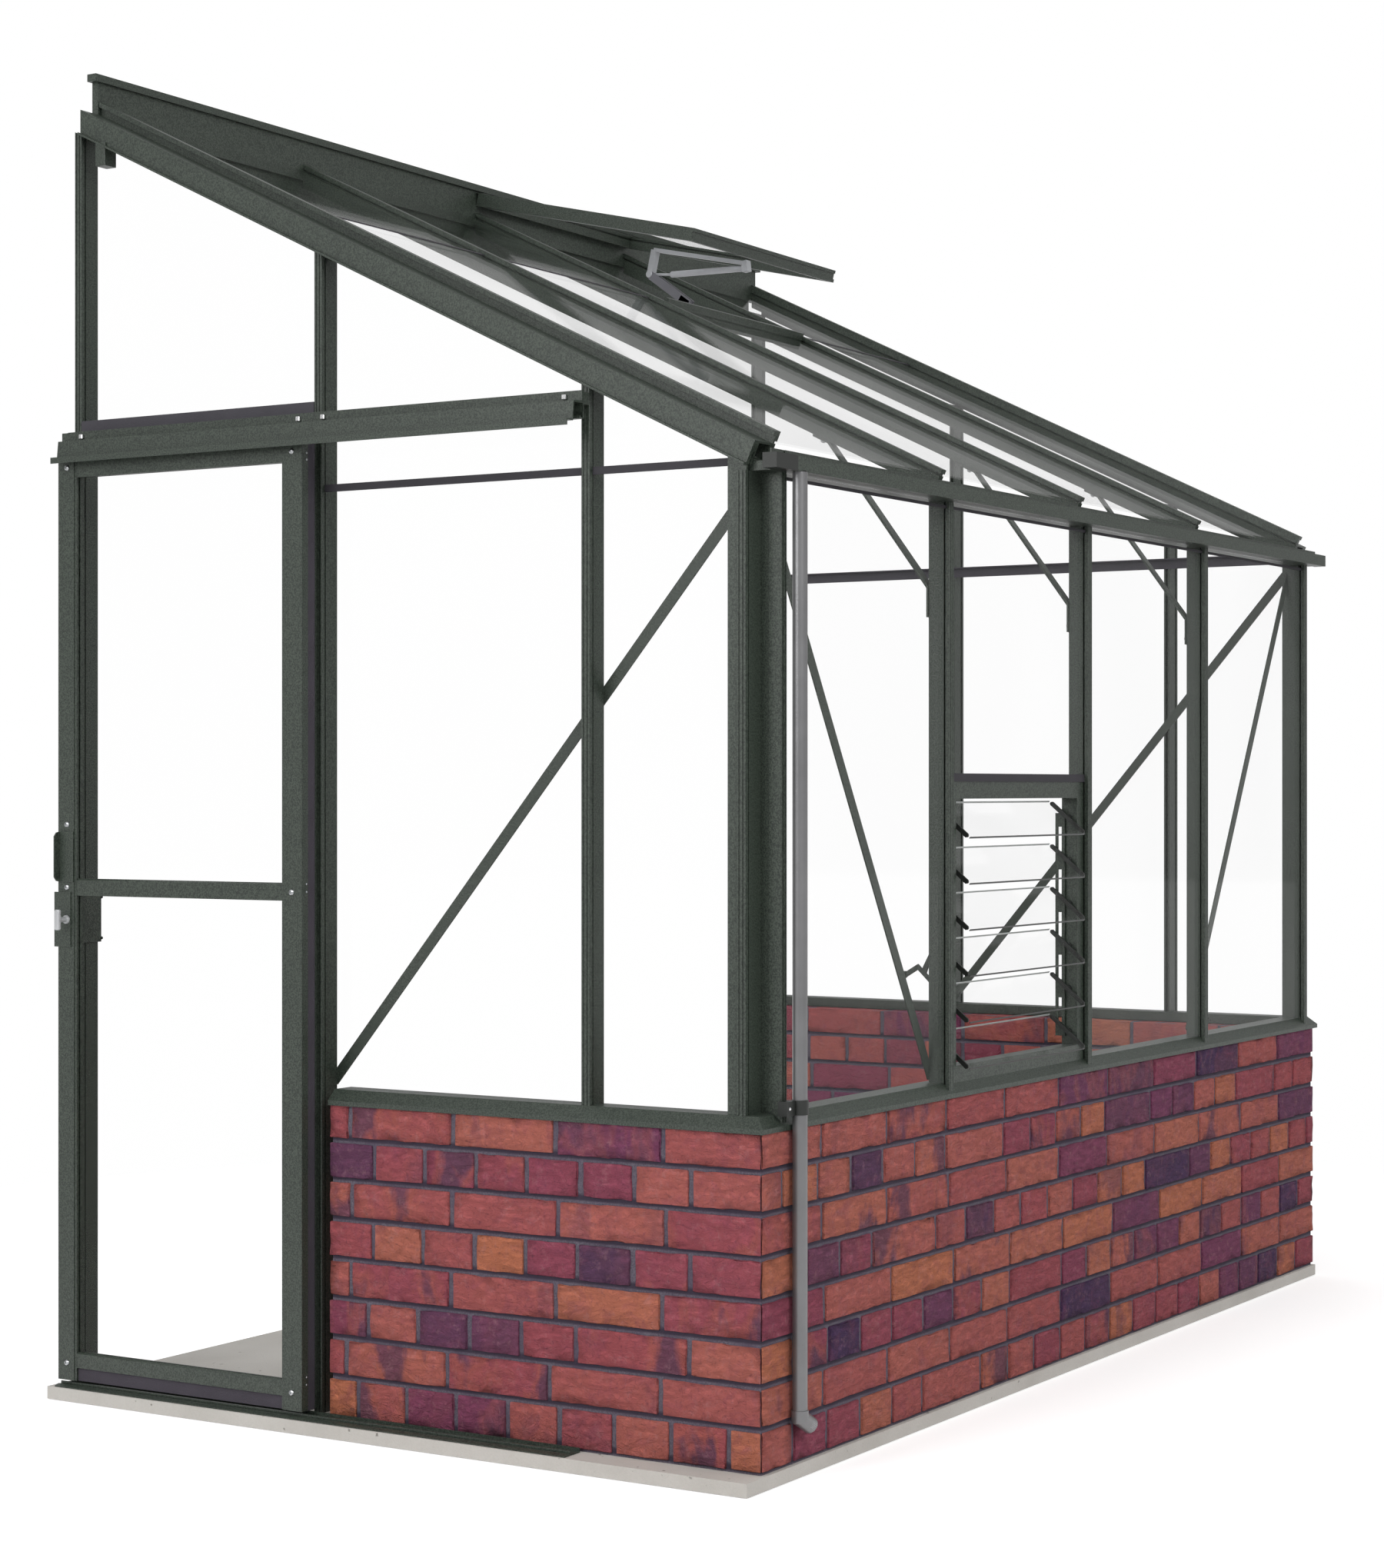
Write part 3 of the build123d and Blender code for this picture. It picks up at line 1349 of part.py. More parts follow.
# Header over the door: a stepped sheet cover with an inner shelf, whose bead
# carries the wheels
header_lip_x = brick_left - header_lip_front
header_face_x = brick_left - header_face_front
header_ledge_x = brick_left - header_ledge_front
header_flange_x = brick_left - header_flange_front
header_back = brick_left - header_back_front
lip_z = slab_thickness + header_lip_bottom
face_z = lip_z + header_lip_height
ledge_z = slab_thickness + header_ledge_height
header_head = slab_thickness + header_flange_top
shelf_z = slab_thickness + header_shelf_height
bead_left = header_back - header_shelf_reach
with BuildPart() as header_track:
    with BuildSketch(Plane((0, brick_front + header_start, 0), x_dir=(-1, 0, 0), z_dir=(0, 1, 0))):
        with BuildLine():
            Polyline(
                (-header_lip_x, lip_z),
                (-header_lip_x, face_z),
                (-header_face_x, face_z),
                (-header_ledge_x, ledge_z),
                (-header_flange_x, ledge_z + header_ledge_fall),
                (-header_flange_x, header_head),
                (-header_back, header_head),
                (-header_back, shelf_z - header_sheet),
                (-bead_left, shelf_z - header_sheet),
                (-bead_left, shelf_z + track_bead),
                (-bead_left - track_bead, shelf_z + track_bead),
                (-bead_left - track_bead, shelf_z),
                (-header_back + header_sheet, shelf_z),
                (-header_back + header_sheet, ledge_z - header_sheet),
                (-header_ledge_x - header_sheet, ledge_z - header_sheet),
                (-header_face_x - header_sheet, face_z - header_sheet),
                (-header_lip_x - header_sheet, face_z - header_sheet),
                (-header_lip_x - header_sheet, lip_z),
                close=True,
            )
        make_face()
    extrude(amount=door_end - header_end_inset - brick_front - header_start)
header_track.part.label = "header_track"
export_step(header_track.part, "parts/header_track.step")

# Brackets that hold the header off the door end's posts
with BuildPart() as header_brackets:
    for bar_y in (side_bar_y[0], side_bar_y[1], rear_bar_y):
        with BuildSketch(Plane.XY.offset(header_head - bracket_height)):
            with Locations((header_back, bar_y - bar_width / 2)):
                Rectangle(frame_left - header_back, bracket_sheet, align=(Align.MIN, Align.MIN))
            with Locations((header_back, bar_y - bar_width / 2)):
                Rectangle(bracket_sheet, bar_width, align=(Align.MIN, Align.MIN))
            with Locations((frame_left - bracket_sheet, bar_y - bar_width / 2)):
                Rectangle(bracket_sheet, bar_width, align=(Align.MIN, Align.MIN))
        extrude(amount=bracket_height)
header_brackets.part.label = "header_brackets"
export_step(header_brackets.part, "parts/header_brackets.step")

# Floor track on the slab: a ramp, a guide rib and a rear upstand
track_front_x = brick_left - floor_track_front
track_back_x = brick_left - floor_track_back
rib_x = door_x + (door_thickness - floor_rib_thickness) / 2
ramp_top_x = track_front_x + floor_ramp_run
track_top = floor_track_sheet + floor_track_lip
with BuildPart() as floor_track:
    with BuildSketch(
        Plane((0, brick_front + floor_track_start, slab_thickness), x_dir=(-1, 0, 0), z_dir=(0, 1, 0))
    ):
        with BuildLine():
            Polyline(
                (-track_front_x, 0),
                (-track_front_x, floor_track_lip),
                (-ramp_top_x, track_top),
                (-ramp_top_x - floor_track_sheet, track_top),
                (-ramp_top_x - floor_track_sheet, floor_track_sheet),
                (-rib_x, floor_track_sheet),
                (-rib_x, floor_rib_height),
                (-rib_x - floor_rib_thickness, floor_rib_height),
                (-rib_x - floor_rib_thickness, floor_track_sheet),
                (-track_back_x + floor_track_sheet, floor_track_sheet),
                (-track_back_x + floor_track_sheet, floor_rib_height),
                (-track_back_x, floor_rib_height),
                (-track_back_x, 0),
                close=True,
            )
        make_face()
    extrude(amount=door_end - floor_track_end_inset - brick_front - floor_track_start)
floor_track.part.label = "floor_track"
export_step(floor_track.part, "parts/floor_track.step")

# Transom over the doorway, between the door post and the rear post
transom_start = side_bar_y[1] + half_body
transom_length = rear_bar_y - side_bar_y[1] - body_width
with BuildPart() as door_transom:
    with BuildSketch(Plane.XY.offset(transom_foot)):
        with Locations((frame_left + body_start, transom_start)):
            Rectangle(
                bar_depth - body_start - slot_depth, transom_length, align=(Align.MIN, Align.MIN)
            )
        with Locations((frame_left, side_bar_y[1] + half_cap + glass_fit)):
            Rectangle(
                body_start,
                rear_bar_y - side_bar_y[1] - bar_width - 2 * glass_fit,
                align=(Align.MIN, Align.MIN),
            )
    extrude(amount=transom_height)
door_transom.part.label = "door_transom"
export_step(door_transom.part, "parts/door_transom.step")

# Jambs: upright fins on the posts each side of the doorway, just behind the door
jamb_foot = slab_thickness + floor_rib_height + glass_fit
jamb_edge_x = door_x + door_thickness + jamb_clearance
with BuildPart() as door_jambs:
    with BuildSketch(Plane.XY.offset(jamb_foot)):
        with Locations((frame_left, side_bar_y[1] + half_cap - jamb_inset)):
            Rectangle(frame_left - jamb_edge_x, jamb_sheet, align=(Align.MAX, Align.MAX))
        with Locations((frame_left, rear_bar_y - half_cap + jamb_inset)):
            Rectangle(frame_left - jamb_edge_x, jamb_sheet, align=(Align.MAX, Align.MIN))
    extrude(amount=shelf_z - header_sheet - glass_fit - jamb_foot)
door_jambs.part.label = "door_jambs"
export_step(door_jambs.part, "parts/door_jambs.step")

# Door stiles: a flat outer face, a raised lip on the opening side and a pane groove
door_foot = slab_thickness + door_bottom
door_height = door_top - door_bottom
pane_line = door_thickness / 2 - groove_width / 2
stile_points = [
    (0, stile_edge),
    (stile_edge, 0),
    (stile_width - stile_lip, 0),
    (stile_width - stile_lip, stile_lip_rise),
    (stile_width, stile_lip_rise),
    (stile_width, pane_line),
    (stile_width - pane_rebate, pane_line),
    (stile_width - pane_rebate, pane_line + groove_width),
    (stile_width, pane_line + groove_width),
    (stile_width, door_thickness),
    (0, door_thickness),
]
with BuildPart() as door_left_stile:
    with BuildSketch(Plane((door_x, door_end, door_foot), x_dir=(0, -1, 0), z_dir=(0, 0, 1))):
        Polygon(*stile_points, align=None)
    extrude(amount=door_height)
door_left_stile.part.label = "door_left_stile"
export_step(door_left_stile.part, "parts/door_left_stile.step")

with BuildPart() as door_right_stile:
    with BuildSketch(Plane((door_x, door_start, door_foot), x_dir=(0, 1, 0), z_dir=(0, 0, -1))):
        Polygon(*stile_points, align=None)
    extrude(amount=-door_height)
door_right_stile.part.label = "door_right_stile"
export_step(door_right_stile.part, "parts/door_right_stile.step")

# Door rails between the stiles, each with a groove for the glass
rail_start = door_start + stile_width
rail_length = door_width - 2 * stile_width
rail_front = (door_thickness - rail_thickness) / 2
rail_back = rail_front + rail_thickness
with BuildPart() as door_top_rail:
    with BuildSketch(
        Plane((door_x, rail_start, slab_thickness + door_top), x_dir=(1, 0, 0), z_dir=(0, -1, 0))
    ):
        with BuildLine():
            Polyline(
                (rail_front, 0),
                (rail_back, 0),
                (rail_back, -top_rail_height),
                (pane_line + groove_width, -top_rail_height),
                (pane_line + groove_width, pane_rebate - top_rail_height),
                (pane_line, pane_rebate - top_rail_height),
                (pane_line, -top_rail_height),
                (rail_front, -top_rail_height),
                close=True,
            )
        make_face()
    extrude(amount=-rail_length)
door_top_rail.part.label = "door_top_rail"
export_step(door_top_rail.part, "parts/door_top_rail.step")

with BuildPart() as door_mid_rail:
    with BuildSketch(
        Plane((door_x, rail_start, slab_thickness + mid_rail_bottom), x_dir=(1, 0, 0), z_dir=(0, -1, 0))
    ):
        with BuildLine():
            Polyline(
                (rail_front, 0),
                (pane_line, 0),
                (pane_line, pane_rebate),
                (pane_line + groove_width, pane_rebate),
                (pane_line + groove_width, 0),
                (rail_back, 0),
                (rail_back, mid_rail_height),
                (pane_line + groove_width, mid_rail_height),
                (pane_line + groove_width, mid_rail_height - pane_rebate),
                (pane_line, mid_rail_height - pane_rebate),
                (pane_line, mid_rail_height),
                (rail_front, mid_rail_height - rail_slope),
                close=True,
            )
        make_face()
    extrude(amount=-rail_length)
door_mid_rail.part.label = "door_mid_rail"
export_step(door_mid_rail.part, "parts/door_mid_rail.step")

with BuildPart() as door_bottom_rail:
    with BuildSketch(
        Plane((door_x, rail_start, slab_thickness + bottom_rail_bottom), x_dir=(1, 0, 0), z_dir=(0, -1, 0))
    ):
        with BuildLine():
            Polyline(
                (rail_front, 0),
                (rail_back, 0),
                (rail_back, bottom_rail_height),
                (pane_line + groove_width, bottom_rail_height),
                (pane_line + groove_width, bottom_rail_height - pane_rebate),
                (pane_line, bottom_rail_height - pane_rebate),
                (pane_line, bottom_rail_height),
                (rail_front, bottom_rail_height - rail_slope),
                close=True,
            )
        make_face()
    extrude(amount=-rail_length)
door_bottom_rail.part.label = "door_bottom_rail"
export_step(door_bottom_rail.part, "parts/door_bottom_rail.step")

# Brush under the bottom rail, between the stiles
with BuildPart() as door_brush:
    with BuildSketch(Plane.XY.offset(door_foot)):
        with Locations((door_x + (door_thickness - brush_thickness) / 2, rail_start)):
            Rectangle(brush_thickness, rail_length, align=(Align.MIN, Align.MIN))
    extrude(amount=bottom_rail_bottom - door_bottom)
door_brush.part.label = "door_brush"
export_step(door_brush.part, "parts/door_brush.step")

# Door panes, held in the grooves of the stiles and rails
pane_inset = stile_width - pane_rebate + glass_edge_gap
lower_pane_foot = bottom_rail_bottom + bottom_rail_height - pane_rebate + glass_edge_gap
lower_pane_head = mid_rail_bottom + pane_rebate - glass_edge_gap
upper_pane_foot = mid_rail_bottom + mid_rail_height - pane_rebate + glass_edge_gap
upper_pane_head = door_top - top_rail_height + pane_rebate - glass_edge_gap
with BuildPart() as door_glass:
    with BuildSketch(
        Plane((door_x + pane_line + glass_fit, 0, slab_thickness), x_dir=(0, 1, 0), z_dir=(1, 0, 0))
    ):
        with Locations((door_start + pane_inset, lower_pane_foot)):
            Rectangle(
                door_width - 2 * pane_inset,
                lower_pane_head - lower_pane_foot,
                align=(Align.MIN, Align.MIN),
            )
        with Locations((door_start + pane_inset, upper_pane_foot)):
            Rectangle(
                door_width - 2 * pane_inset,
                upper_pane_head - upper_pane_foot,
                align=(Align.MIN, Align.MIN),
            )
    extrude(amount=glass_thickness)
door_glass.part.label = "door_glass"
export_step(door_glass.part, "parts/door_glass.step")

# Hangers on the top rail: a plate with an axle, on which a grooved wheel turns
bead_x = bead_left + track_bead / 2
wheel_bottom = shelf_z + track_bead + wheel_clearance - wheel_groove
wheel_z = wheel_bottom + wheel_diameter / 2
half_wheel = wheel_width / 2
half_bead = track_bead / 2 + wheel_clearance
wheel_rim = wheel_z + wheel_diameter / 2
hanger_y = [door_start + hanger_inset, door_end - hanger_inset]
hanger_x = bead_x - half_wheel - wheel_side_gap
hanger_foot = slab_thickness + door_top
with BuildPart() as door_hangers:
    for y in hanger_y:
        with BuildSketch(Plane((hanger_x, y, 0), x_dir=(0, -1, 0), z_dir=(-1, 0, 0))):
            with Locations((0, hanger_foot)):
                Rectangle(hanger_width, wheel_z - hanger_foot, align=(Align.CENTER, Align.MIN))
            with Locations((0, wheel_z)):
                Circle(hanger_width / 2 - hanger_thickness)
        extrude(amount=hanger_thickness)
        with BuildSketch(Plane((hanger_x, y, wheel_z), x_dir=(0, 1, 0), z_dir=(1, 0, 0))):
            Circle(axle_diameter / 2)
        extrude(amount=bead_x - hanger_x)
        with BuildSketch(Plane((bead_x, y, 0), x_dir=(1, 0, 0), z_dir=(0, -1, 0))):
            with BuildLine():
                Polyline(
                    (-half_wheel, wheel_z),
                    (-half_wheel, wheel_rim),
                    (-half_bead, wheel_rim),
                    (-half_bead, wheel_rim - wheel_groove),
                    (half_bead, wheel_rim - wheel_groove),
                    (half_bead, wheel_rim),
                    (half_wheel, wheel_rim),
                    (half_wheel, wheel_z),
                    close=True,
                )
            make_face()
        revolve(axis=Axis((bead_x, y, wheel_z), (1, 0, 0)))
door_hangers.part.label = "door_hangers"
export_step(door_hangers.part, "parts/door_hangers.step")

# Pull handle on the door's outer face
handle_y = door_end - handle_inset
with BuildPart() as door_handle:
    with BuildSketch(Plane((door_x, handle_y, 0), x_dir=(0, -1, 0), z_dir=(-1, 0, 0))):
        with Locations((0, slab_thickness + handle_bottom)):
            Rectangle(handle_width, handle_height, align=(Align.CENTER, Align.MIN))
    extrude(amount=handle_sheet)
    with BuildSketch(Plane((door_x, handle_y + handle_width / 2, 0), x_dir=(0, 0, 1), z_dir=(0, -1, 0))):
        with Locations((slab_thickness + handle_bottom, 0)):
            Rectangle(handle_height, handle_projection, align=(Align.MIN, Align.MIN))
    extrude(amount=handle_sheet)
door_handle.part.label = "door_handle"
export_step(door_handle.part, "parts/door_handle.step")

# Lock plate with a turning grip on its stem
lock_y = door_end - lock_inset
lock_z = slab_thickness + lock_bottom
lock_plane = Plane((door_x, lock_y, lock_z), x_dir=(0, -1, 0), z_dir=(-1, 0, 0))
with BuildPart() as door_lock:
    with BuildSketch(lock_plane):
        Rectangle(lock_width, lock_height, align=(Align.CENTER, Align.MIN))
    extrude(amount=lock_sheet)
    with BuildSketch(lock_plane.offset(lock_sheet)):
        with Locations((0, lock_height / 2)):
            Circle(lock_stem / 2)
    extrude(amount=lock_stem_length)
    with BuildSketch(lock_plane.offset(lock_sheet + lock_stem_length)):
        with Locations((0, lock_height / 2)):
            SlotOverall(lock_grip_length, lock_grip_width, rotation=90)
    extrude(amount=lock_grip_depth)
door_lock.part.label = "door_lock"
export_step(door_lock.part, "parts/door_lock.step")
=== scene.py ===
import json
import math
import random

import bmesh
import bpy
from mathutils import Matrix, Vector, noise


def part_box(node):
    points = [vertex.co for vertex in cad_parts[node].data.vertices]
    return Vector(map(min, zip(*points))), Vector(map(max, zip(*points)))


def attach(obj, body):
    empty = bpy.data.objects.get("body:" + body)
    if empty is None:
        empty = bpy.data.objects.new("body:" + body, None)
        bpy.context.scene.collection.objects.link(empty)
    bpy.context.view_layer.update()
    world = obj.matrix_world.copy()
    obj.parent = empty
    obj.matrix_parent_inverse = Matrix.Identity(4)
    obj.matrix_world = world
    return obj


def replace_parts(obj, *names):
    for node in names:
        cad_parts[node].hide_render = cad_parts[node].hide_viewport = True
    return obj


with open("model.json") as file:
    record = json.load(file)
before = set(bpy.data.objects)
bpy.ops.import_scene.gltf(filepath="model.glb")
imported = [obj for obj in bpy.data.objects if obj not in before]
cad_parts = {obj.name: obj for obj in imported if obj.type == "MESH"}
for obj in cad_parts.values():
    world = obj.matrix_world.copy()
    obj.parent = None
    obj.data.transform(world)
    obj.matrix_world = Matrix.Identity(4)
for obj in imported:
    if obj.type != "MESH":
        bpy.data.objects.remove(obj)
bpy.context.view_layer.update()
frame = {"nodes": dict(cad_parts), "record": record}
NODES = frame["nodes"]

# Main faces of the building, read from the frame
FRONT_LOW, FRONT_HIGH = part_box("front_wall")
DOOR_SIDE_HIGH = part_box("door_side_wall")[1]
FAR_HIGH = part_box("far_side_wall")[1]
FLOOR_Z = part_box("floor_slab")[0].z

# Brickwork: stretcher and header courses in turn, top course of stretchers
COURSES = 8
BRICK_JOINT = 0.0085
STRETCHER = 0.232
HEADER = 0.111
FIRST_STRETCHER = 0.206
FIRST_HEADER = 0.150
STRETCHER_AMONG_HEADERS = 0.05
SHORTEST_CUT = 0.040
BRICK_EDGE = 0.0035
BRICK_GRID = 0.021
MORTAR_RECESS = 0.006
TOP_GAP = 0.002
FOOT_BED = 0.004
BRICK_SPREAD = (0.97, 1.03)
JOINT_SPREAD = (0.85, 1.15)
BED_SPREAD = (0.85, 1.1)
CLOSER_SHARES = (0.45, 0.7, 1.0)
PHASE_REACH = 90
WEAR_DEPTH = 0.0028
WEAR_SCALE = 42
CHIP_DEPTH = 0.009
CHIP_SCALE = 75
CHIP_START = 0.12
CHIP_AT_EDGE = 1.6
CHIP_ON_FACE = 0.35

# Camera, found from the slab's and the wall's edges
CAMERA_PLACE = (-5.5664, -3.5215, 1.2235)
CAMERA_HEADING = math.radians(29.739)
FOCAL_PIXELS = 3783.48
FRAME_WIDTH = 1800
FRAME_HEIGHT = 2039
CENTRE_U = 1150.0
HORIZON_V = 1025.13
SENSOR = 36.0


def make_camera():
    data = bpy.data.cameras.new("camera")
    data.sensor_fit = "AUTO"
    data.sensor_width = SENSOR
    data.lens = FOCAL_PIXELS * SENSOR / FRAME_HEIGHT
    data.shift_x = (FRAME_WIDTH / 2 - CENTRE_U) / FRAME_HEIGHT
    data.shift_y = (HORIZON_V - FRAME_HEIGHT / 2) / FRAME_HEIGHT
    data.clip_end = 100
    camera = bpy.data.objects.new("camera", data)
    camera.location = CAMERA_PLACE
    camera.rotation_euler = (math.radians(90), 0, CAMERA_HEADING - math.radians(90))
    bpy.context.scene.collection.objects.link(camera)
    bpy.context.scene.camera = camera


class Nodes:
    """A material's node tree with short ways to add and join nodes."""

    def __init__(self, name):
        self.material = bpy.data.materials.new(name)
        self.material.use_nodes = True
        self.tree = self.material.node_tree
        self.tree.nodes.clear()
        self.output = self.add("ShaderNodeOutputMaterial")

    def add(self, kind, **settings):
        node = self.tree.nodes.new(kind)
        for key, value in settings.items():
            setattr(node, key, value)
        return node

    def set(self, node, socket, value):
        target = node.inputs[socket]
        if isinstance(value, bpy.types.NodeSocket):
            self.tree.links.new(value, target)
        else:
            target.default_value = value

    def place(self):
        return self.add("ShaderNodeTexCoord").outputs["Object"]

    def stretched(self, scale):
        mapping = self.add("ShaderNodeMapping")
        self.set(mapping, "Vector", self.place())
        self.set(mapping, "Scale", scale)
        return mapping.outputs["Vector"]

    def noise(self, scale, detail=3.0, roughness=0.55, vector=None, distortion=0.0):
        node = self.add("ShaderNodeTexNoise")
        self.set(node, "Vector", vector or self.place())
        self.set(node, "Scale", scale)
        self.set(node, "Detail", detail)
        self.set(node, "Roughness", roughness)
        self.set(node, "Distortion", distortion)
        return node.outputs["Fac"]

    def ramp(self, value, *stops):
        node = self.add("ShaderNodeValToRGB")
        elements = node.color_ramp.elements
        while len(elements) < len(stops):
            elements.new(0.5)
        for element, (position, colour) in zip(elements, stops):
            element.position = position
            element.color = (*colour, 1.0) if len(colour) == 3 else colour
        self.set(node, "Fac", value)
        return node.outputs["Color"]

    def span(self, value, low, high, start=0.0, end=1.0):
        node = self.add("ShaderNodeMapRange")
        self.set(node, "Value", value)
        self.set(node, "From Min", start)
        self.set(node, "From Max", end)
        self.set(node, "To Min", low)
        self.set(node, "To Max", high)
        return node.outputs["Result"]

    def mix(self, factor, a, b, blend="MIX"):
        node = self.add("ShaderNodeMix", data_type="RGBA", blend_type=blend)
        self.set(node, 0, factor)
        self.set(node, 6, (*a, 1.0) if isinstance(a, tuple) else a)
        self.set(node, 7, (*b, 1.0) if isinstance(b, tuple) else b)
        return node.outputs[2]

    def sum(self, a, b, operation="ADD"):
        node = self.add("ShaderNodeMath", operation=operation)
        self.set(node, 0, a)
        self.set(node, 1, b)
        return node.outputs[0]

    def bump(self, height, distance, strength=1.0, normal=None):
        node = self.add("ShaderNodeBump")
        self.set(node, "Height", height)
        self.set(node, "Distance", distance)
        self.set(node, "Strength", strength)
        if normal is not None:
            self.set(node, "Normal", normal)
        return node.outputs["Normal"]

    def shader(self, **values):
        node = self.add("ShaderNodeBsdfPrincipled")
        for key, value in values.items():
            self.set(node, key.replace("_", " "), value)
        self.finish(node.outputs["BSDF"])
        return node

    def finish(self, socket):
        self.tree.links.new(socket, self.output.inputs["Surface"])


def powder_coat(name, dark, light, speckle=330.0):
    # Green powder coat: a fine two-tone speckle over orange-peel
    m = Nodes(name)
    fleck = m.noise(speckle, 2.0, 0.7)
    broad = m.noise(6.0, 2.0)
    colour = m.ramp(fleck, (0.4, dark), (0.6, light))
    colour = m.mix(m.span(broad, 0.0, 0.25), colour, dark)
    peel = m.noise(speckle * 0.6, 2.0)
    m.shader(
        Base_Color=colour,
        Roughness=m.span(fleck, 0.5, 0.36),
        Normal=m.bump(peel, 0.0006, 0.35),
    )
    return m.material


def clear_glass(name, sheen):
    # Clear float glass: see-through, with a faint sheen that grows at grazing angles
    m = Nodes(name)
    facing = m.add("ShaderNodeLayerWeight").outputs["Facing"]
    grazing = m.sum(facing, 5.0, "POWER")
    streak = m.noise(1.6, 2.0, 0.5, m.stretched((1.0, 1.0, 0.5)))
    edge = m.sum(m.span(grazing, 0.004, sheen), m.span(streak, 0.6, 1.3, 0.35, 0.65), "MULTIPLY")
    clear = m.add("ShaderNodeBsdfTransparent")
    gloss = m.add("ShaderNodeBsdfGlossy")
    m.set(gloss, "Roughness", 0.03)
    blend = m.add("ShaderNodeMixShader")
    m.set(blend, "Fac", edge)
    m.tree.links.new(clear.outputs["BSDF"], blend.inputs[1])
    m.tree.links.new(gloss.outputs["BSDF"], blend.inputs[2])
    m.finish(blend.outputs["Shader"])
    return m.material


def plain_coat(name, colour, roughness, grain=500.0, metallic=0.0, depth=0.0004):
    # An even coat with a fine grain and darker clouds
    m = Nodes(name)
    fine = m.noise(grain, 3.0)
    broad = m.noise(14.0, 3.0)
    darker = tuple(c * 0.72 for c in colour)
    tone = m.mix(m.span(broad, 0.0, 0.6, 0.3, 0.7), colour, darker)
    m.shader(
        Base_Color=tone,
        Roughness=m.span(fine, roughness - 0.06, roughness + 0.08),
        Metallic=metallic,
        Normal=m.bump(fine, depth, 0.4),
    )
    return m.material


def concrete(name):
    m = Nodes(name)
    cloud = m.noise(5.0, 5.0, 0.6)
    grit = m.noise(260.0, 4.0, 0.7)
    pits = m.noise(70.0, 1.0)
    colour = m.ramp(cloud, (0.3, (0.44, 0.42, 0.39)), (0.7, (0.52, 0.5, 0.47)))
    colour = m.mix(m.span(grit, 0.0, 0.25, 0.4, 0.8), colour, (0.34, 0.32, 0.29))
    # Pits: hollowed by the bump, with painted shade darkening their colour
    pit_shade_mask = m.span(pits, 1.0, 0.0, 0.2, 0.27)
    colour = m.mix(pit_shade_mask, colour, (0.2, 0.19, 0.17))
    m.shader(
        Base_Color=colour,
        Roughness=m.span(grit, 0.72, 0.95),
        Normal=m.bump(m.sum(grit, m.sum(pit_shade_mask, -1.5, "MULTIPLY")), 0.0016, 0.5),
    )
    return m.material


def fired_clay(name):
    # Brick faces: each brick's own tone, burnt bands with an orange halo, blooms,
    # soot, drag marks and creases
    m = Nodes(name)
    tone = m.add("ShaderNodeAttribute", attribute_name="tone").outputs["Fac"]
    burnt = m.add("ShaderNodeAttribute", attribute_name="burnt").outputs["Fac"]
    shift = m.add("ShaderNodeAttribute", attribute_name="shift").outputs["Vector"]
    body = m.ramp(
        tone,
        (0.0, (0.06, 0.032, 0.095)),
        (0.12, (0.12, 0.049, 0.1)),
        (0.27, (0.2, 0.054, 0.12)),
        (0.43, (0.3, 0.066, 0.105)),
        (0.6, (0.39, 0.09, 0.1)),
        (0.76, (0.46, 0.13, 0.11)),
        (0.9, (0.5, 0.16, 0.105)),
        (1.0, (0.52, 0.172, 0.092)),
    )
    moved = m.add("ShaderNodeVectorMath", operation="ADD")
    m.set(moved, 0, m.stretched((1.0, 1.0, 0.55)))
    m.set(moved, 1, shift)
    band = m.noise(9.0, 4.0, 0.55, moved.outputs["Vector"], 0.35)
    halo = m.sum(m.span(band, 0.0, 0.4, 0.46, 0.53), burnt, "MULTIPLY")
    colour = m.mix(halo, body, (0.47, 0.14, 0.085))
    patch = m.sum(m.span(band, 0.0, 0.85, 0.54, 0.62), burnt, "MULTIPLY")
    colour = m.mix(patch, colour, (0.085, 0.046, 0.1))
    cloud = m.noise(24.0, 4.0, 0.62, distortion=0.8)
    colour = m.mix(m.span(cloud, 0.0, 0.42, 0.5, 0.75), colour, (0.24, 0.06, 0.11))
    bloom = m.noise(60.0, 5.0, 0.7)
    colour = m.mix(m.span(bloom, 0.0, 0.38, 0.54, 0.8), colour, (0.5, 0.27, 0.28))
    soot = m.noise(150.0, 4.0, 0.75)
    colour = m.mix(m.span(soot, 0.0, 0.6, 0.55, 0.78), colour, (0.05, 0.022, 0.05))
    drag = m.noise(34.0, 6.0, 0.68, m.stretched((1.0, 1.0, 2.0)), 1.4)
    grain = m.noise(420.0, 3.0, 0.7)
    height = m.sum(m.sum(drag, 2.0, "MULTIPLY"), m.sum(grain, 0.3, "MULTIPLY"))
    m.shader(
        Base_Color=colour,
        Roughness=m.span(grain, 0.78, 0.96),
        Specular_IOR_Level=0.25,
        Normal=m.bump(height, 0.009, 1.0),
    )
    return m.material


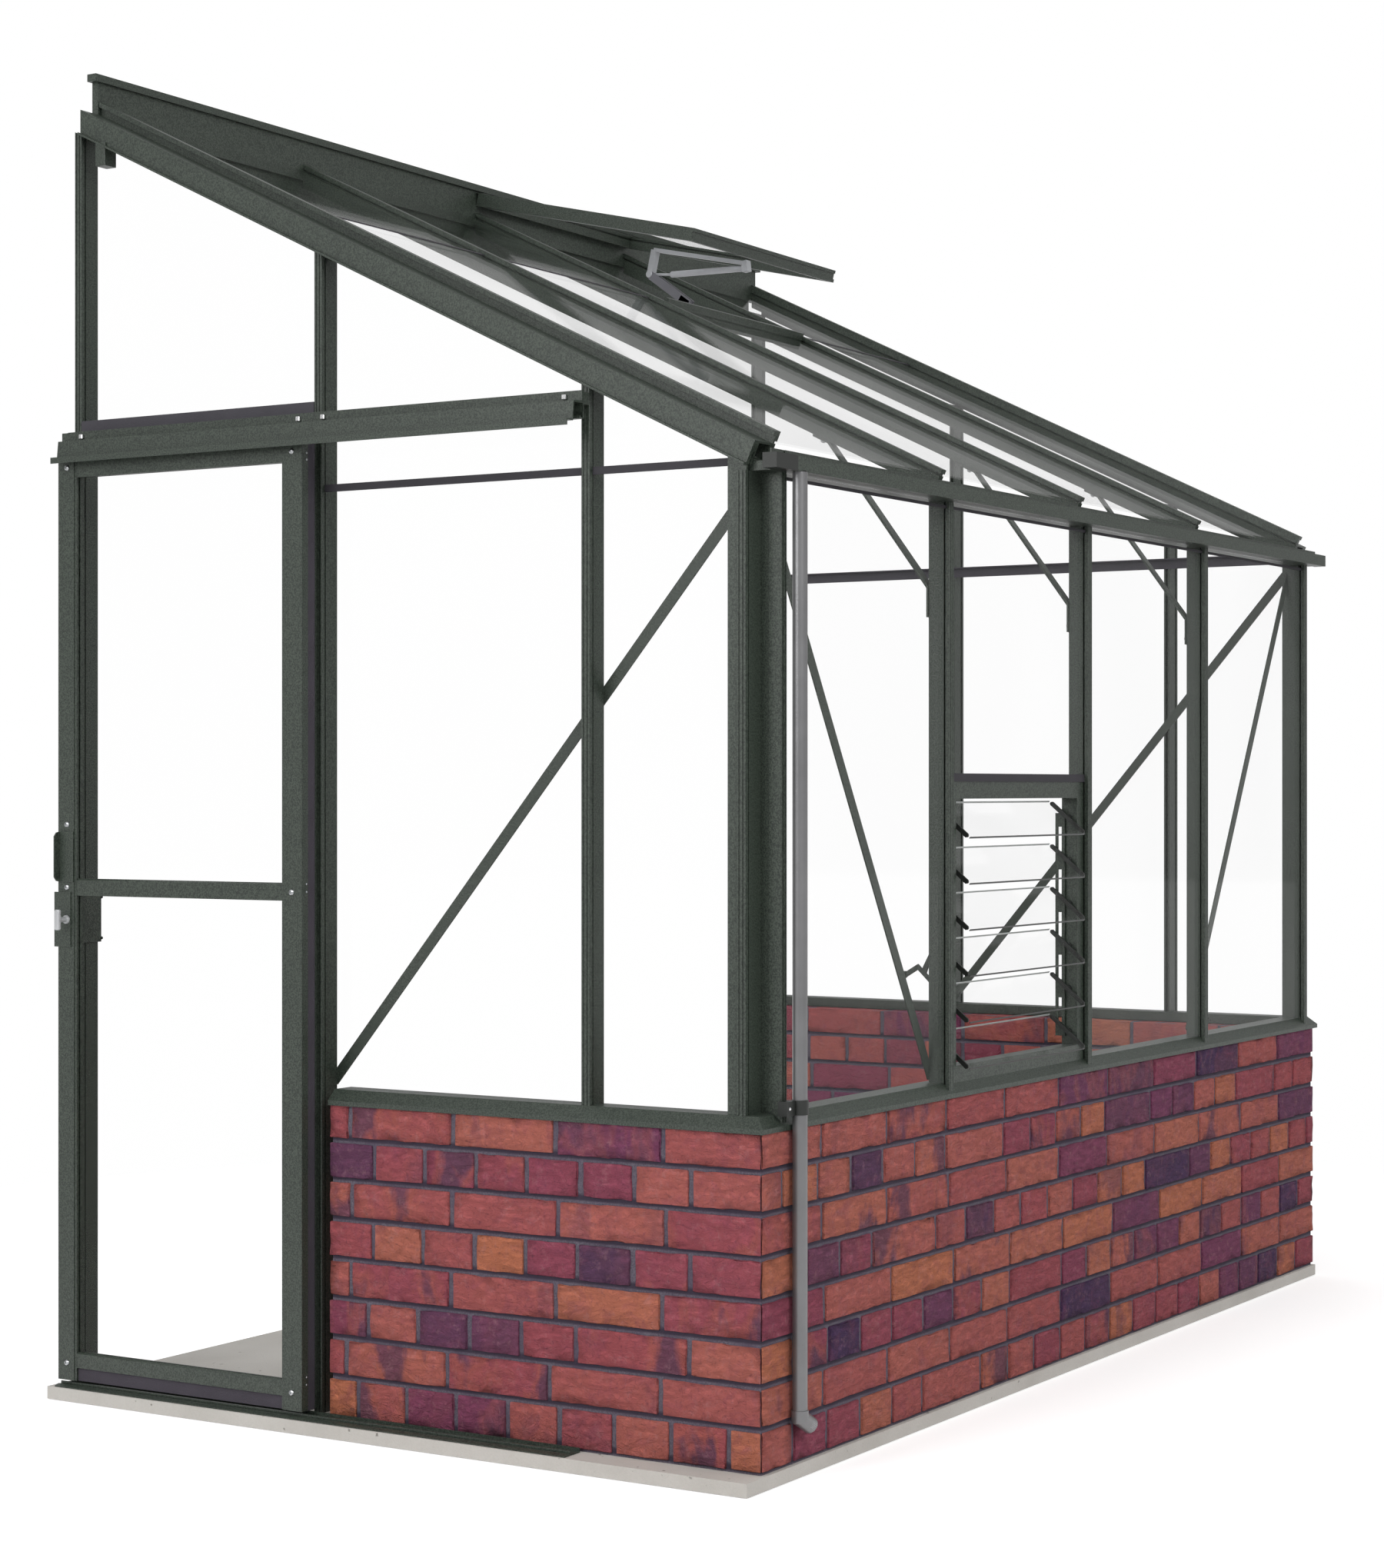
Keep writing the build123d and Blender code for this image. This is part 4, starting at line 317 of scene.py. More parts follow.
def mortar(name):
    # Dark grey mortar, with a painted shadow below the edge of each brick above a bed joint
    m = Nodes(name)
    sand = m.noise(300.0, 4.0, 0.75)
    damp = m.noise(17.0, 4.0, 0.6)
    colour = m.ramp(sand, (0.3, (0.055, 0.046, 0.066)), (0.7, (0.16, 0.14, 0.175)))
    colour = m.mix(m.span(damp, 0.0, 0.7, 0.45, 0.7), colour, (0.07, 0.05, 0.085))
    apart = m.add("ShaderNodeSeparateXYZ")
    m.set(apart, "Vector", m.place())
    pitch = (FRONT_HIGH.z - FRONT_LOW.z) / COURSES
    rise = m.sum(m.sum(apart.outputs["Z"], FRONT_LOW.z, "SUBTRACT"), pitch, "MODULO")
    # Painted shadow: the top of each bed joint is darkened below the brick above it
    painted_shadow = m.sum(
        m.span(rise, 0.0, 1.0, BRICK_JOINT * 0.15, BRICK_JOINT * 0.6),
        m.span(rise, 1.0, 0.0, BRICK_JOINT * 1.4, BRICK_JOINT * 2.2),
        "MULTIPLY",
    )
    colour = m.mix(m.sum(painted_shadow, 0.88, "MULTIPLY"), colour, (0.022, 0.014, 0.03))
    m.shader(Base_Color=colour, Roughness=0.95, Normal=m.bump(sand, 0.003, 0.8))
    return m.material


def polished(name, colour, roughness):
    # Bare metal with a faint haze
    m = Nodes(name)
    haze = m.noise(90.0, 3.0)
    m.shader(
        Base_Color=(*colour, 1.0),
        Metallic=1.0,
        Roughness=m.span(haze, roughness, roughness + 0.1),
        Normal=m.bump(haze, 0.0002, 0.2),
    )
    return m.material


GREEN_DARK = (0.0125, 0.018, 0.0135)
GREEN_LIGHT = (0.049, 0.063, 0.0485)
MATERIALS = {
    "frame_green": powder_coat("frame_green", GREEN_DARK, GREEN_LIGHT),
    "brick": fired_clay("brick"),
    "mortar": mortar("mortar"),
    "concrete": concrete("concrete"),
    "pane": clear_glass("pane", 0.3),
    "seal": plain_coat("seal", (0.022, 0.02, 0.026), 0.7),
    "bristle": plain_coat("bristle", (0.05, 0.043, 0.056), 0.9, 900.0, 0.0, 0.002),
    "dark_strip": plain_coat("dark_strip", (0.035, 0.032, 0.042), 0.6, 420.0),
    "opener_metal": plain_coat("opener_metal", (0.4, 0.41, 0.43), 0.36, 300.0, 0.35),
    "moulding": plain_coat("moulding", (0.012, 0.014, 0.012), 0.45),
    "pipe": plain_coat("pipe", (0.2, 0.2, 0.205), 0.3, 350.0, 0.55),
    "wheel": plain_coat("wheel", (0.3, 0.3, 0.3), 0.4, 300.0, 0.7),
    "chrome": polished("chrome", (0.86, 0.86, 0.87), 0.12),
    "screw_steel": polished("screw_steel", (0.4, 0.41, 0.42), 0.22),
    "satin_steel": plain_coat("satin_steel", (0.5, 0.51, 0.52), 0.35, 300.0, 0.3),
    "opener_dark": plain_coat("opener_dark", (0.12, 0.12, 0.135), 0.45, 300.0),
    # Glass edges of the louvre blades: painted shade on the lower edge, painted highlight on the
    # upper edge
    "pane_edge_painted_shade": plain_coat("pane_edge_painted_shade", (0.008, 0.012, 0.011), 0.3),
    "pane_edge_painted_highlight": plain_coat("pane_edge_painted_highlight", (0.5, 0.53, 0.52), 0.3),
}


def dress_frame():
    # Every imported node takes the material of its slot
    slot_of = {s["node"]: s["material_slot"] for s in frame["record"]["subparts"]}
    for name, node in NODES.items():
        node.data.materials.clear()
        node.data.materials.append(MATERIALS[slot_of[name]])
        for polygon in node.data.polygons:
            polygon.use_smooth = False


def link_mesh(name, mesh, material, body="root"):
    piece = bpy.data.objects.new(name, mesh)
    bpy.context.scene.collection.objects.link(piece)
    mesh.materials.append(MATERIALS[material])
    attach(piece, body)
    return piece


def edge_rows(half):
    # Vertex rows across a brick, close together at its worn edges
    inner = half - BRICK_EDGE
    count = max(1, round(2 * inner / BRICK_GRID))
    middle = [-inner + 2 * inner * i / count for i in range(count + 1)]
    near = inner + BRICK_EDGE * 0.6
    return [-half, -near, *middle, near, half]


def block_grid(size):
    # A closed grid of four-sided faces over a block about the origin
    rows = [edge_rows(side / 2) for side in size]
    last = [len(row) - 1 for row in rows]
    index = {}
    points = []
    faces = []

    def corner(key):
        if key not in index:
            index[key] = len(points)
            points.append(Vector([rows[axis][key[axis]] for axis in range(3)]))
        return index[key]

    for axis in range(3):
        across, up = (axis + 1) % 3, (axis + 2) % 3
        for end in (0, last[axis]):
            for i in range(last[across]):
                for j in range(last[up]):
                    quad = []
                    for di, dj in ((0, 0), (1, 0), (1, 1), (0, 1)):
                        key = [0, 0, 0]
                        key[axis], key[across], key[up] = end, i + di, j + dj
                        quad.append(corner(tuple(key)))
                    faces.append(quad if end else quad[::-1])
    return points, faces


def wear(point, size, phase):
    # Rounds the edges, then hollows and chips the face inwards only
    limits = [side / 2 - BRICK_EDGE for side in size]
    inner = Vector([max(-limit, min(limit, part)) for part, limit in zip(point, limits)])
    outward = (point - inner).normalized()
    near_edge = sum(1 for part in outward if abs(part) > 0.2) > 1
    hollow = 0.5 + 0.5 * noise.noise(point * WEAR_SCALE + phase)
    chip = max(0.0, noise.noise(point * CHIP_SCALE + phase * 1.7) - CHIP_START)
    share = CHIP_AT_EDGE if near_edge else CHIP_ON_FACE
    depth = WEAR_DEPTH * hollow + CHIP_DEPTH * chip * share
    return inner + outward * (BRICK_EDGE - depth)


def course_bricks(course, length, rng):
    # The bricks of one course as (start, end) distances along the wall
    stretchers = course % 2 == 0
    start = 0.0
    first = FIRST_STRETCHER if stretchers else FIRST_HEADER * rng.choice(CLOSER_SHARES)
    bricks = []
    while length - start > SHORTEST_CUT / 2:
        if not bricks:
            size = first
        elif stretchers or rng.random() < STRETCHER_AMONG_HEADERS:
            size = STRETCHER
        else:
            size = HEADER
        size *= rng.uniform(*BRICK_SPREAD)
        end = start + size
        if length - end < SHORTEST_CUT:
            end = length
        bricks.append((start, end))
        start = end + BRICK_JOINT * rng.uniform(*JOINT_SPREAD)
    return bricks


def brick_tones(rng):
    # A brick's tone and how far it is burnt: a few blue, some plum, many crimson and
    # salmon, and a few orange ones
    kind = rng.random()
    if kind < 0.05:
        return rng.uniform(0.0, 0.1), rng.uniform(0.0, 0.3)
    if kind < 0.2:
        return rng.uniform(0.14, 0.34), rng.choice((0.0, 0.2, 0.7))
    if kind < 0.5:
        return rng.uniform(0.38, 0.62), rng.choice((0.0, 0.0, 0.3, 0.9))
    if kind < 0.89:
        return rng.uniform(0.64, 0.84), rng.choice((0.0, 0.0, 0.3, 0.85))
    return rng.uniform(0.86, 1.0), rng.choice((0.0, 0.0, 0.5))


def lay_wall(name, node, origin, along, inward, length, mitres, seed):
    # The bricks of one wall, laid from its outer face at origin; mitres says which
    # ends are cut to meet the next wall
    low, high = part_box(node)
    thickness = min(high.x - low.x, high.y - low.y)
    height = high.z - low.z
    pitch = height / COURSES
    rng = random.Random(seed)
    up = Vector((0, 0, 1))
    flip = along.cross(inward).dot(up) < 0
    points, faces, tones, burns, shifts = [], [], [], [], []
    for course in range(COURSES):
        top = height - course * pitch
        bricks = course_bricks(course, length, rng)
        for number, (start, end) in enumerate(bricks):
            bed = BRICK_JOINT if course < COURSES - 1 else FOOT_BED
            size = Vector((end - start, thickness, pitch - bed * rng.uniform(*BED_SPREAD)))
            centre = Vector(((start + end) / 2, thickness / 2, top - size.z / 2))
            phase = Vector([rng.uniform(0, PHASE_REACH) for _ in range(3)])
            tone, burnt = brick_tones(rng)
            grid, quads = block_grid(size)
            base = len(points)
            for point in grid:
                worn = wear(point, size, phase) + centre
                along_wall = worn.x
                if mitres[0] and number == 0:
                    along_wall += worn.y * (end - worn.x) / (end - start)
                if mitres[1] and number == len(bricks) - 1:
                    along_wall -= worn.y * (worn.x - start) / (end - start)
                place = origin + along * along_wall + inward * worn.y + up * worn.z
                points.append(place)
                tones.append(tone)
                burns.append(burnt)
                shifts.extend(phase)
            for quad in quads:
                corners = [base + i for i in quad]
                faces.append(corners[::-1] if flip else corners)
    mesh = bpy.data.meshes.new(name)
    mesh.from_pydata(points, [], faces)
    for key, values in (("tone", tones), ("burnt", burns)):
        mesh.attributes.new(key, "FLOAT", "POINT").data.foreach_set("value", values)
    mesh.attributes.new("shift", "FLOAT_VECTOR", "POINT").data.foreach_set("vector", shifts)
    mesh.polygons.foreach_set("use_smooth", [True] * len(mesh.polygons))
    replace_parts(link_mesh(name, mesh, "brick"), node)


def lay_mortar(name, node, meets_front):
    # The mortar core behind the brick faces, reaching into the front wall's core
    low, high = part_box(node)
    low = low + Vector((MORTAR_RECESS, MORTAR_RECESS, 0))
    high = high - Vector((MORTAR_RECESS, MORTAR_RECESS, TOP_GAP))
    low.y -= meets_front * MORTAR_RECESS * 2
    bm = bmesh.new()
    bmesh.ops.create_cube(bm, size=1.0)
    bmesh.ops.scale(bm, vec=high - low, verts=bm.verts)
    bmesh.ops.translate(bm, vec=(high + low) / 2, verts=bm.verts)
    mesh = bpy.data.meshes.new(name)
    bm.to_mesh(mesh)
    bm.free()
    link_mesh(name, mesh, "mortar")


def build_brickwork():
    x, y = Vector((1, 0, 0)), Vector((0, 1, 0))
    left = Vector((FRONT_LOW.x, FRONT_LOW.y, FRONT_LOW.z))
    right = Vector((FRONT_HIGH.x, FRONT_LOW.y, FRONT_LOW.z))
    front = FRONT_HIGH.x - FRONT_LOW.x
    door_side = DOOR_SIDE_HIGH.y - FRONT_LOW.y
    far_side = FAR_HIGH.y - FRONT_LOW.y
    both, near = (True, True), (True, False)
    lay_wall("front_bricks", "front_wall", left, x, y, front, both, seed=4)
    lay_wall("door_side_bricks", "door_side_wall", left, y, x, door_side, near, seed=9)
    lay_wall("far_side_bricks", "far_side_wall", right, y, -x, far_side, near, seed=15)
    lay_mortar("front_mortar", "front_wall", False)
    lay_mortar("door_side_mortar", "door_side_wall", True)
    lay_mortar("far_side_mortar", "far_side_wall", True)


make_camera()
dress_frame()
build_brickwork()


class Piece:
    """Gathers the shapes of one piece in a single mesh."""

    def __init__(self, name, material, body="root", slot=None):
        self.name, self.material, self.body, self.slot = name, material, body, slot
        self.bm = bmesh.new()

    def block(self, low, high, edge=0.0, turn=None):
        # A box between two corners with bevelled edges, turned about its middle
        low, high = Vector(low), Vector(high)
        made = bmesh.ops.create_cube(self.bm, size=1.0)["verts"]
        bmesh.ops.scale(self.bm, vec=high - low, verts=made)
        if edge:
            edges = list(dict.fromkeys(e for v in made for e in v.link_edges))
            bevel = {"offset": edge, "segments": 2, "affect": "EDGES", "profile": 0.5}
            made = bmesh.ops.bevel(self.bm, geom=edges, **bevel)["verts"]
        if turn:
            bmesh.ops.rotate(self.bm, matrix=turn, verts=made)
        bmesh.ops.translate(self.bm, vec=(low + high) / 2, verts=made)

    def turned(self, place, axis, profile, segments=20):
        # A profile of (distance along the axis, radius) turned about the axis
        frame_turn = Vector((0, 0, 1)).rotation_difference(Vector(axis))
        rings = []
        for along, radius in profile:
            ring = []
            for i in range(segments):
                angle = 2 * math.pi * i / segments
                point = Vector((radius * math.cos(angle), radius * math.sin(angle), along))
                ring.append(self.bm.verts.new(Vector(place) + frame_turn @ point))
            rings.append(ring)
        for lower, upper in zip(rings, rings[1:]):
            for i in range(segments):
                j = (i + 1) % segments
                self.bm.faces.new((lower[i], lower[j], upper[j], upper[i]))
        self.bm.faces.new(rings[0][::-1])
        self.bm.faces.new(rings[-1])

    def prism(self, outline, depth):
        # An outline of points, pushed along the vector depth
        low = [self.bm.verts.new(p) for p in outline]
        high = [self.bm.verts.new(Vector(p) + Vector(depth)) for p in outline]
        self.bm.faces.new(low[::-1])
        self.bm.faces.new(high)
        for i in range(len(low)):
            j = (i + 1) % len(low)
            self.bm.faces.new((low[i], low[j], high[j], high[i]))

    def finish(self):
        bmesh.ops.recalc_face_normals(self.bm, faces=self.bm.faces)
        mesh = bpy.data.meshes.new(self.name)
        self.bm.to_mesh(mesh)
        self.bm.free()
        return link_mesh(self.name, mesh, self.material, self.body)


# A domed head with a sunk drive, as (share of the height, share of the radius)
SCREW_PROFILE = (
    (0, 1.0),
    (0.3, 1.0),
    (0.7, 0.84),
    (0.95, 0.52),
    (1.0, 0.36),
    (0.55, 0.26),
    (0.5, 0.0001),
)


def screw(piece, place, axis, radius, height):
    piece.turned(place, axis, [(a * height, r * radius) for a, r in SCREW_PROFILE])


OUT_OF_DOOR = Vector((-1, 0, 0))
# Screws and bolts as (radius, height), then their places
DOOR_SCREW = (0.0058, 0.0036)
SIDE_SCREW = (0.0022, 0.0016)
KEEP_BOLT = (0.0032, 0.004)
CLIP_BOLT = (0.003, 0.0025)
BRACE_BOLT = (0.0055, 0.005)
FAR_STILE_SCREWS = (1.865, 1.151, 1.0255, 0.0735)
NEAR_STILE_SCREWS = (1.865, 1.0255, 0.0735)
SIDE_SCREWS = (1.862, 1.849, 1.041, 1.026, 0.103, 0.0885)
DOOR_PLATE = 0.0025
LOCK_Y = 0.789
LOCK_FAR_Y = 0.823
LOCK_STEM = ((0, 0.0088), (0.003, 0.0084), (0.004, 0.0056), (0.021, 0.0052))
GRIP_HALF_WIDTH = 0.0062
GRIP_HALF_HEIGHT = 0.0205
GRIP_DEPTH = 0.0085
HANDLE_Y = 0.811
HANDLE_WIDTH = 0.039
HANDLE_SHEET = 0.0028
HANDLE_ROUND = 0.006
HEADER_BOLTS_Y = (0.7695, 0.2036, 0.1428, -0.4205)
HEADER_BOLT_Z = (1.9235, 1.9331)
HEADER_BOLT_HALF = 0.0048
KEEP_X = (-1.284, -1.207)
KEEP_Z = (0.911, 1.007)
KEEP_BOLTS_Z = (0.9185, 1.002)
BRUSH_X = (-1.29, -1.268)
STILE_LOW, STILE_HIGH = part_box("door_left_stile")
NEAR_LOW, NEAR_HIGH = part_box("door_right_stile")
HEADER_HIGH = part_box("header_track")[1]
JAMB_LOW, JAMB_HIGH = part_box("door_jambs")


def dress_door():
    # Screws, lock plate with its turning grip, and the bent pull handle
    face = STILE_LOW.x
    far_y = (STILE_LOW.y + STILE_HIGH.y) / 2
    near_y = (NEAR_LOW.y + NEAR_HIGH.y) / 2
    screws = Piece("door_screws", "screw_steel", "door", "opener_metal")
    for y, heights in ((far_y, FAR_STILE_SCREWS), (near_y, NEAR_STILE_SCREWS)):
        for z in heights:
            screw(screws, (face, y, z), OUT_OF_DOOR, *DOOR_SCREW)
    for z in SIDE_SCREWS:
        screw(screws, (NEAR_HIGH.x - 0.004, NEAR_LOW.y, z), (0, -1, 0), *SIDE_SCREW)
    screws.finish()

    low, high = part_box("door_lock")
    z = (low.z + high.z) / 2
    plate = Piece("lock_plate", "frame_green", "door")
    front = face - DOOR_PLATE
    plate.block((front, low.y + 0.004, low.z), (face, LOCK_FAR_Y, high.z), 0.0008)
    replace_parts(plate.finish(), "door_lock")
    grip = Piece("lock_grip", "satin_steel", "door", "opener_metal")
    grip.turned((front, LOCK_Y, z), OUT_OF_DOOR, LOCK_STEM)
    grip.block(
        (low.x, LOCK_Y - GRIP_HALF_WIDTH, z - GRIP_HALF_HEIGHT),
        (low.x + GRIP_DEPTH, LOCK_Y + GRIP_HALF_WIDTH, z + GRIP_HALF_HEIGHT),
        0.0028,
    )
    grip.finish()

    low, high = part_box("door_handle")
    handle = Piece("pull_handle", "frame_green", "door")
    handle.block((front, HANDLE_Y - HANDLE_WIDTH, low.z), (face, HANDLE_Y, high.z), 0.0009)
    outline = [
        (face, HANDLE_Y, low.z),
        (low.x + HANDLE_ROUND, HANDLE_Y, low.z + 0.002),
        (low.x, HANDLE_Y, low.z + HANDLE_ROUND * 1.6),
        (low.x, HANDLE_Y, high.z - HANDLE_ROUND * 1.6),
        (low.x + HANDLE_ROUND, HANDLE_Y, high.z - 0.002),
        (face, HANDLE_Y, high.z),
    ]
    handle.prism(outline, (0, -HANDLE_SHEET, 0))
    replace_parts(handle.finish(), "door_handle")


def dress_doorway():
    # Square bolts on the header, the plate that the lock shuts into, and the brushes
    bolts = Piece("header_bolts", "chrome", "root", "opener_metal")
    for y in HEADER_BOLTS_Y:
        bolts.block(
            (HEADER_HIGH.x - 0.0105, y - HEADER_BOLT_HALF, HEADER_BOLT_Z[0]),
            (HEADER_HIGH.x - 0.005, y + HEADER_BOLT_HALF, HEADER_BOLT_Z[1]),
            0.0014,
        )
    bolts.finish()
    keep = Piece("keep_plate", "frame_green")
    keep.block(
        (KEEP_X[0], JAMB_HIGH.y - 0.0105, KEEP_Z[0]),
        (KEEP_X[1], JAMB_HIGH.y - 0.0085, KEEP_Z[1]),
        0.0006,
    )
    keep.finish()
    nuts = Piece("keep_bolts", "frame_green")
    for z in KEEP_BOLTS_Z:
        screw(nuts, (KEEP_X[1], JAMB_HIGH.y - 0.0095, z), (1, 0, 0), *KEEP_BOLT)
    nuts.finish()
    pile = Piece("jamb_brushes", "bristle")
    for start in (JAMB_LOW.y - 0.003, JAMB_HIGH.y - 0.006):
        low = (BRUSH_X[0], start, JAMB_LOW.z)
        pile.block(low, (BRUSH_X[1], start + 0.003, JAMB_HIGH.z), 0.0006)
    pile.finish()


FIRST_BAR_X = -1.1985
BAR_STEP = 0.62125
BAR_X = [FIRST_BAR_X + BAR_STEP * i for i in range(5)]
BAR_HALF = 0.0095
SEAL_Z = (1.7685, 1.7745)
PANE_JOINT_Y = 0.313
BAYS_WITHOUT_VENT = (0, 1, 3)
BLADES = 6
BLADE_Y = -0.793
FIRST_BLADE_Z = 0.707
BLADE_STEP = 0.0908
BLADE_TILT = math.radians(39.5)
BLADE_HALF = 0.054
ELBOW_TURN = math.radians(60)
ELBOW_END = ((0, 0.0155), (0.0168, 0.0155), (0.0168, 0.0122), (0.004, 0.0118))
BRACE_HEAD_Y = -0.531
BRACE_FOOT = (-0.772, 1.572)
ROOF_START_Y = -0.806
ROOF_START_Z = 1.845
ROOF_PITCH = math.radians(25.35)


def roof_place(y, depth):
    # The height of a plane parallel to the roof, at a depth under its face
    rise = (y - ROOF_START_Y) * math.tan(ROOF_PITCH)
    return ROOF_START_Z + rise - depth / math.cos(ROOF_PITCH)


def dress_glass():
    # Seal over the front panes, joints of the roof panes and edges of the louvre blades, with
    # painted shade on each blade's lower edge and a painted highlight on its upper edge
    outer_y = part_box("front_glass")[0].y
    seal = Piece("eaves_seal", "seal")
    for left, right in zip(BAR_X, BAR_X[1:]):
        corner = (right - BAR_HALF, outer_y, SEAL_Z[1])
        seal.block((left + BAR_HALF, outer_y - 0.003, SEAL_Z[0]), corner, 0.0006)
    seal.finish()
    joint = Piece("roof_pane_joints", "seal")
    turn = Matrix.Rotation(ROOF_PITCH, 3, "X")
    y = PANE_JOINT_Y
    z = roof_place(y, 0.0085)
    for bay in BAYS_WITHOUT_VENT:
        start, end = BAR_X[bay] + BAR_HALF, BAR_X[bay + 1] - BAR_HALF
        joint.block((start, y - 0.006, z - 0.0008), (end, y + 0.006, z + 0.0008), 0.0003, turn)
    joint.finish()

    low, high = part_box("louvre_blades")
    dark = Piece("blade_edges_painted_shade", "pane_edge_painted_shade", "root", "pane")
    pale = Piece("blade_edges_painted_highlight", "pane_edge_painted_highlight", "root", "pane")
    turn = Matrix.Rotation(BLADE_TILT, 3, "X")
    # Each blade: a painted-shade strip along its lower edge and a painted-highlight strip along
    # its upper edge
    for i in range(BLADES):
        for piece, side in ((dark, -1), (pale, 1)):
            y = BLADE_Y + side * BLADE_HALF * math.cos(BLADE_TILT)
            z = FIRST_BLADE_Z + BLADE_STEP * i + side * BLADE_HALF * math.sin(BLADE_TILT)
            corner = (high.x, y + 0.0004, z + 0.0021)
            piece.block((low.x, y - 0.0004, z - 0.0021), corner, 0.0002, turn)
    dark.finish()
    pale.finish()


def dress_pipe():
    # The bright rim at the elbow's mouth and the bolt of the pipe clip
    pipe_low, pipe_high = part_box("downpipe")
    middle = (pipe_low + pipe_high) / 2
    along = Vector((math.sin(ELBOW_TURN), 0, -math.cos(ELBOW_TURN)))
    start = Vector((middle.x, middle.y, pipe_low.z - 0.013)) + along * 0.022
    end = Piece("elbow_end", "chrome", "root", "opener_metal")
    end.turned(start, along, ELBOW_END, 32)
    end.finish()
    low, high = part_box("downpipe_clip")
    bolt = Piece("clip_bolt", "chrome", "root", "opener_metal")
    place = (low.x + 0.01, low.y + 0.0165, (low.z + high.z) / 2)
    screw(bolt, place, (0, -1, 0), *CLIP_BOLT)
    bolt.finish()


def dress_roof():
    # Bolts at the head and foot of each knee brace
    bolts = Piece("brace_bolts", "opener_metal")
    down = Vector((0, math.sin(ROOF_PITCH), -math.cos(ROOF_PITCH)))
    for x in BAR_X[1:-1]:
        head = (x, BRACE_HEAD_Y, roof_place(BRACE_HEAD_Y, 0.051))
        screw(bolts, head, down, *BRACE_BOLT)
        screw(bolts, (x, *BRACE_FOOT), (0, 1, 0), *BRACE_BOLT)
    bolts.finish()


def strip(piece, x, half_width, start, end, thickness):
    # A flat bar between two (y, z) points
    start, end = Vector((0, *start)), Vector((0, *end))
    across = (end - start).cross(Vector((1, 0, 0))).normalized() * thickness / 2
    side = Vector((x - half_width, 0, 0))
    upper = [start + across + side, end + across + side]
    lower = [end - across + side, start - across + side]
    piece.prism(upper + lower, (2 * half_width, 0, 0))


# The vent opener's parts as (y, z) points in the plane across its middle
PUSH_BAR = ((0.186, 2.4685), (0.446, 2.524))
END_BLOCK = ((0.186, 2.449), (0.189, 2.4745))
CYLINDER = ((0.186, 2.4575), (0.4007, 2.461))
KNUCKLE = (0.459, 2.466)
ARM = ((0.456, 2.463), (0.345, 2.384))
ARM_FOOT = ((0.372, 2.4005), (0.348, 2.3835))
LINK_HALF_WIDTH = 0.0095
BAR_HALF_WIDTH = 0.009
ROD_RADIUS = 0.0032
ARM_SPACING = 0.0075
ARM_HALF_SHEET = 0.0015
KNUCKLE_HALF = 0.0115
KNUCKLE_PROFILE = ((0, 0.0078), (0.001, 0.0086), (0.022, 0.0086), (0.023, 0.0078))


def dress_opener():
    # Push bar, cylinder and rod between an end block and a knuckle, on a dark arm
    low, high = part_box("vent_opener")
    x = (low.x + high.x) / 2
    tube_low, tube_high = Vector((x, *CYLINDER[0])), Vector((x, *CYLINDER[1]))
    knuckle = Vector((x, *KNUCKLE))
    light = Piece("opener_bars", "opener_metal")
    strip(light, x, BAR_HALF_WIDTH, *PUSH_BAR, 0.009)
    strip(light, x, LINK_HALF_WIDTH, PUSH_BAR[1], KNUCKLE, 0.014)
    strip(light, x, LINK_HALF_WIDTH, *END_BLOCK, 0.016)
    tube = (tube_high - tube_low).normalized()
    length = (tube_high - tube_low).length
    ends = ((0, 0.0066), (0.002, 0.0074), (length - 0.002, 0.0074), (length, 0.0066))
    light.turned(tube_low, tube, ends, 28)
    reach = knuckle - tube_high
    rod = ((0, ROD_RADIUS), (reach.length, ROD_RADIUS))
    light.turned(tube_high, reach.normalized(), rod)
    light.turned(knuckle - Vector((KNUCKLE_HALF, 0, 0)), (1, 0, 0), KNUCKLE_PROFILE, 28)
    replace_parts(light.finish(), "vent_opener")
    arm = Piece("opener_arm", "opener_dark", "root", "opener_metal")
    for side in (-1, 1):
        strip(arm, x + side * ARM_SPACING, ARM_HALF_SHEET, *ARM, 0.02)
    strip(arm, x, BAR_HALF_WIDTH, *ARM_FOOT, 0.018)
    arm.finish()


LIP_START = 0.26
LIP_END = 0.03
LIP_DROP = 0.058
BRACKET_LOW = (-1.264, 0.742, 2.477)
BRACKET_HIGH = (-1.232, 0.768, 2.524)


def dress_ridge():
    # The flanged strip under the ridge and the bracket at the rear post's top
    low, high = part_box("ridge_beam")
    lip = Piece("ridge_lip", "frame_green")
    start, end = low.x + LIP_START, high.x - LIP_END
    foot, back = low.z - LIP_DROP, high.y - 0.0015
    lip.block((start, high.y - 0.0045, foot), (end, back, low.z + 0.004), 0.0006)
    lip.block((start, high.y - 0.012, foot), (end, back, low.z - 0.052), 0.0006)
    lip.finish()
    bracket = Piece("rear_post_bracket", "frame_green")
    bracket.block(BRACKET_LOW, BRACKET_HIGH, 0.0008)
    bracket.finish()


dress_opener()
dress_ridge()
dress_door()
dress_doorway()
dress_glass()
dress_pipe()
dress_roof()


FLOOR_SIZE = 60.0
FLOOR_GLOW = 0.35
FLOOR_FADE = (2.0, 3.4)


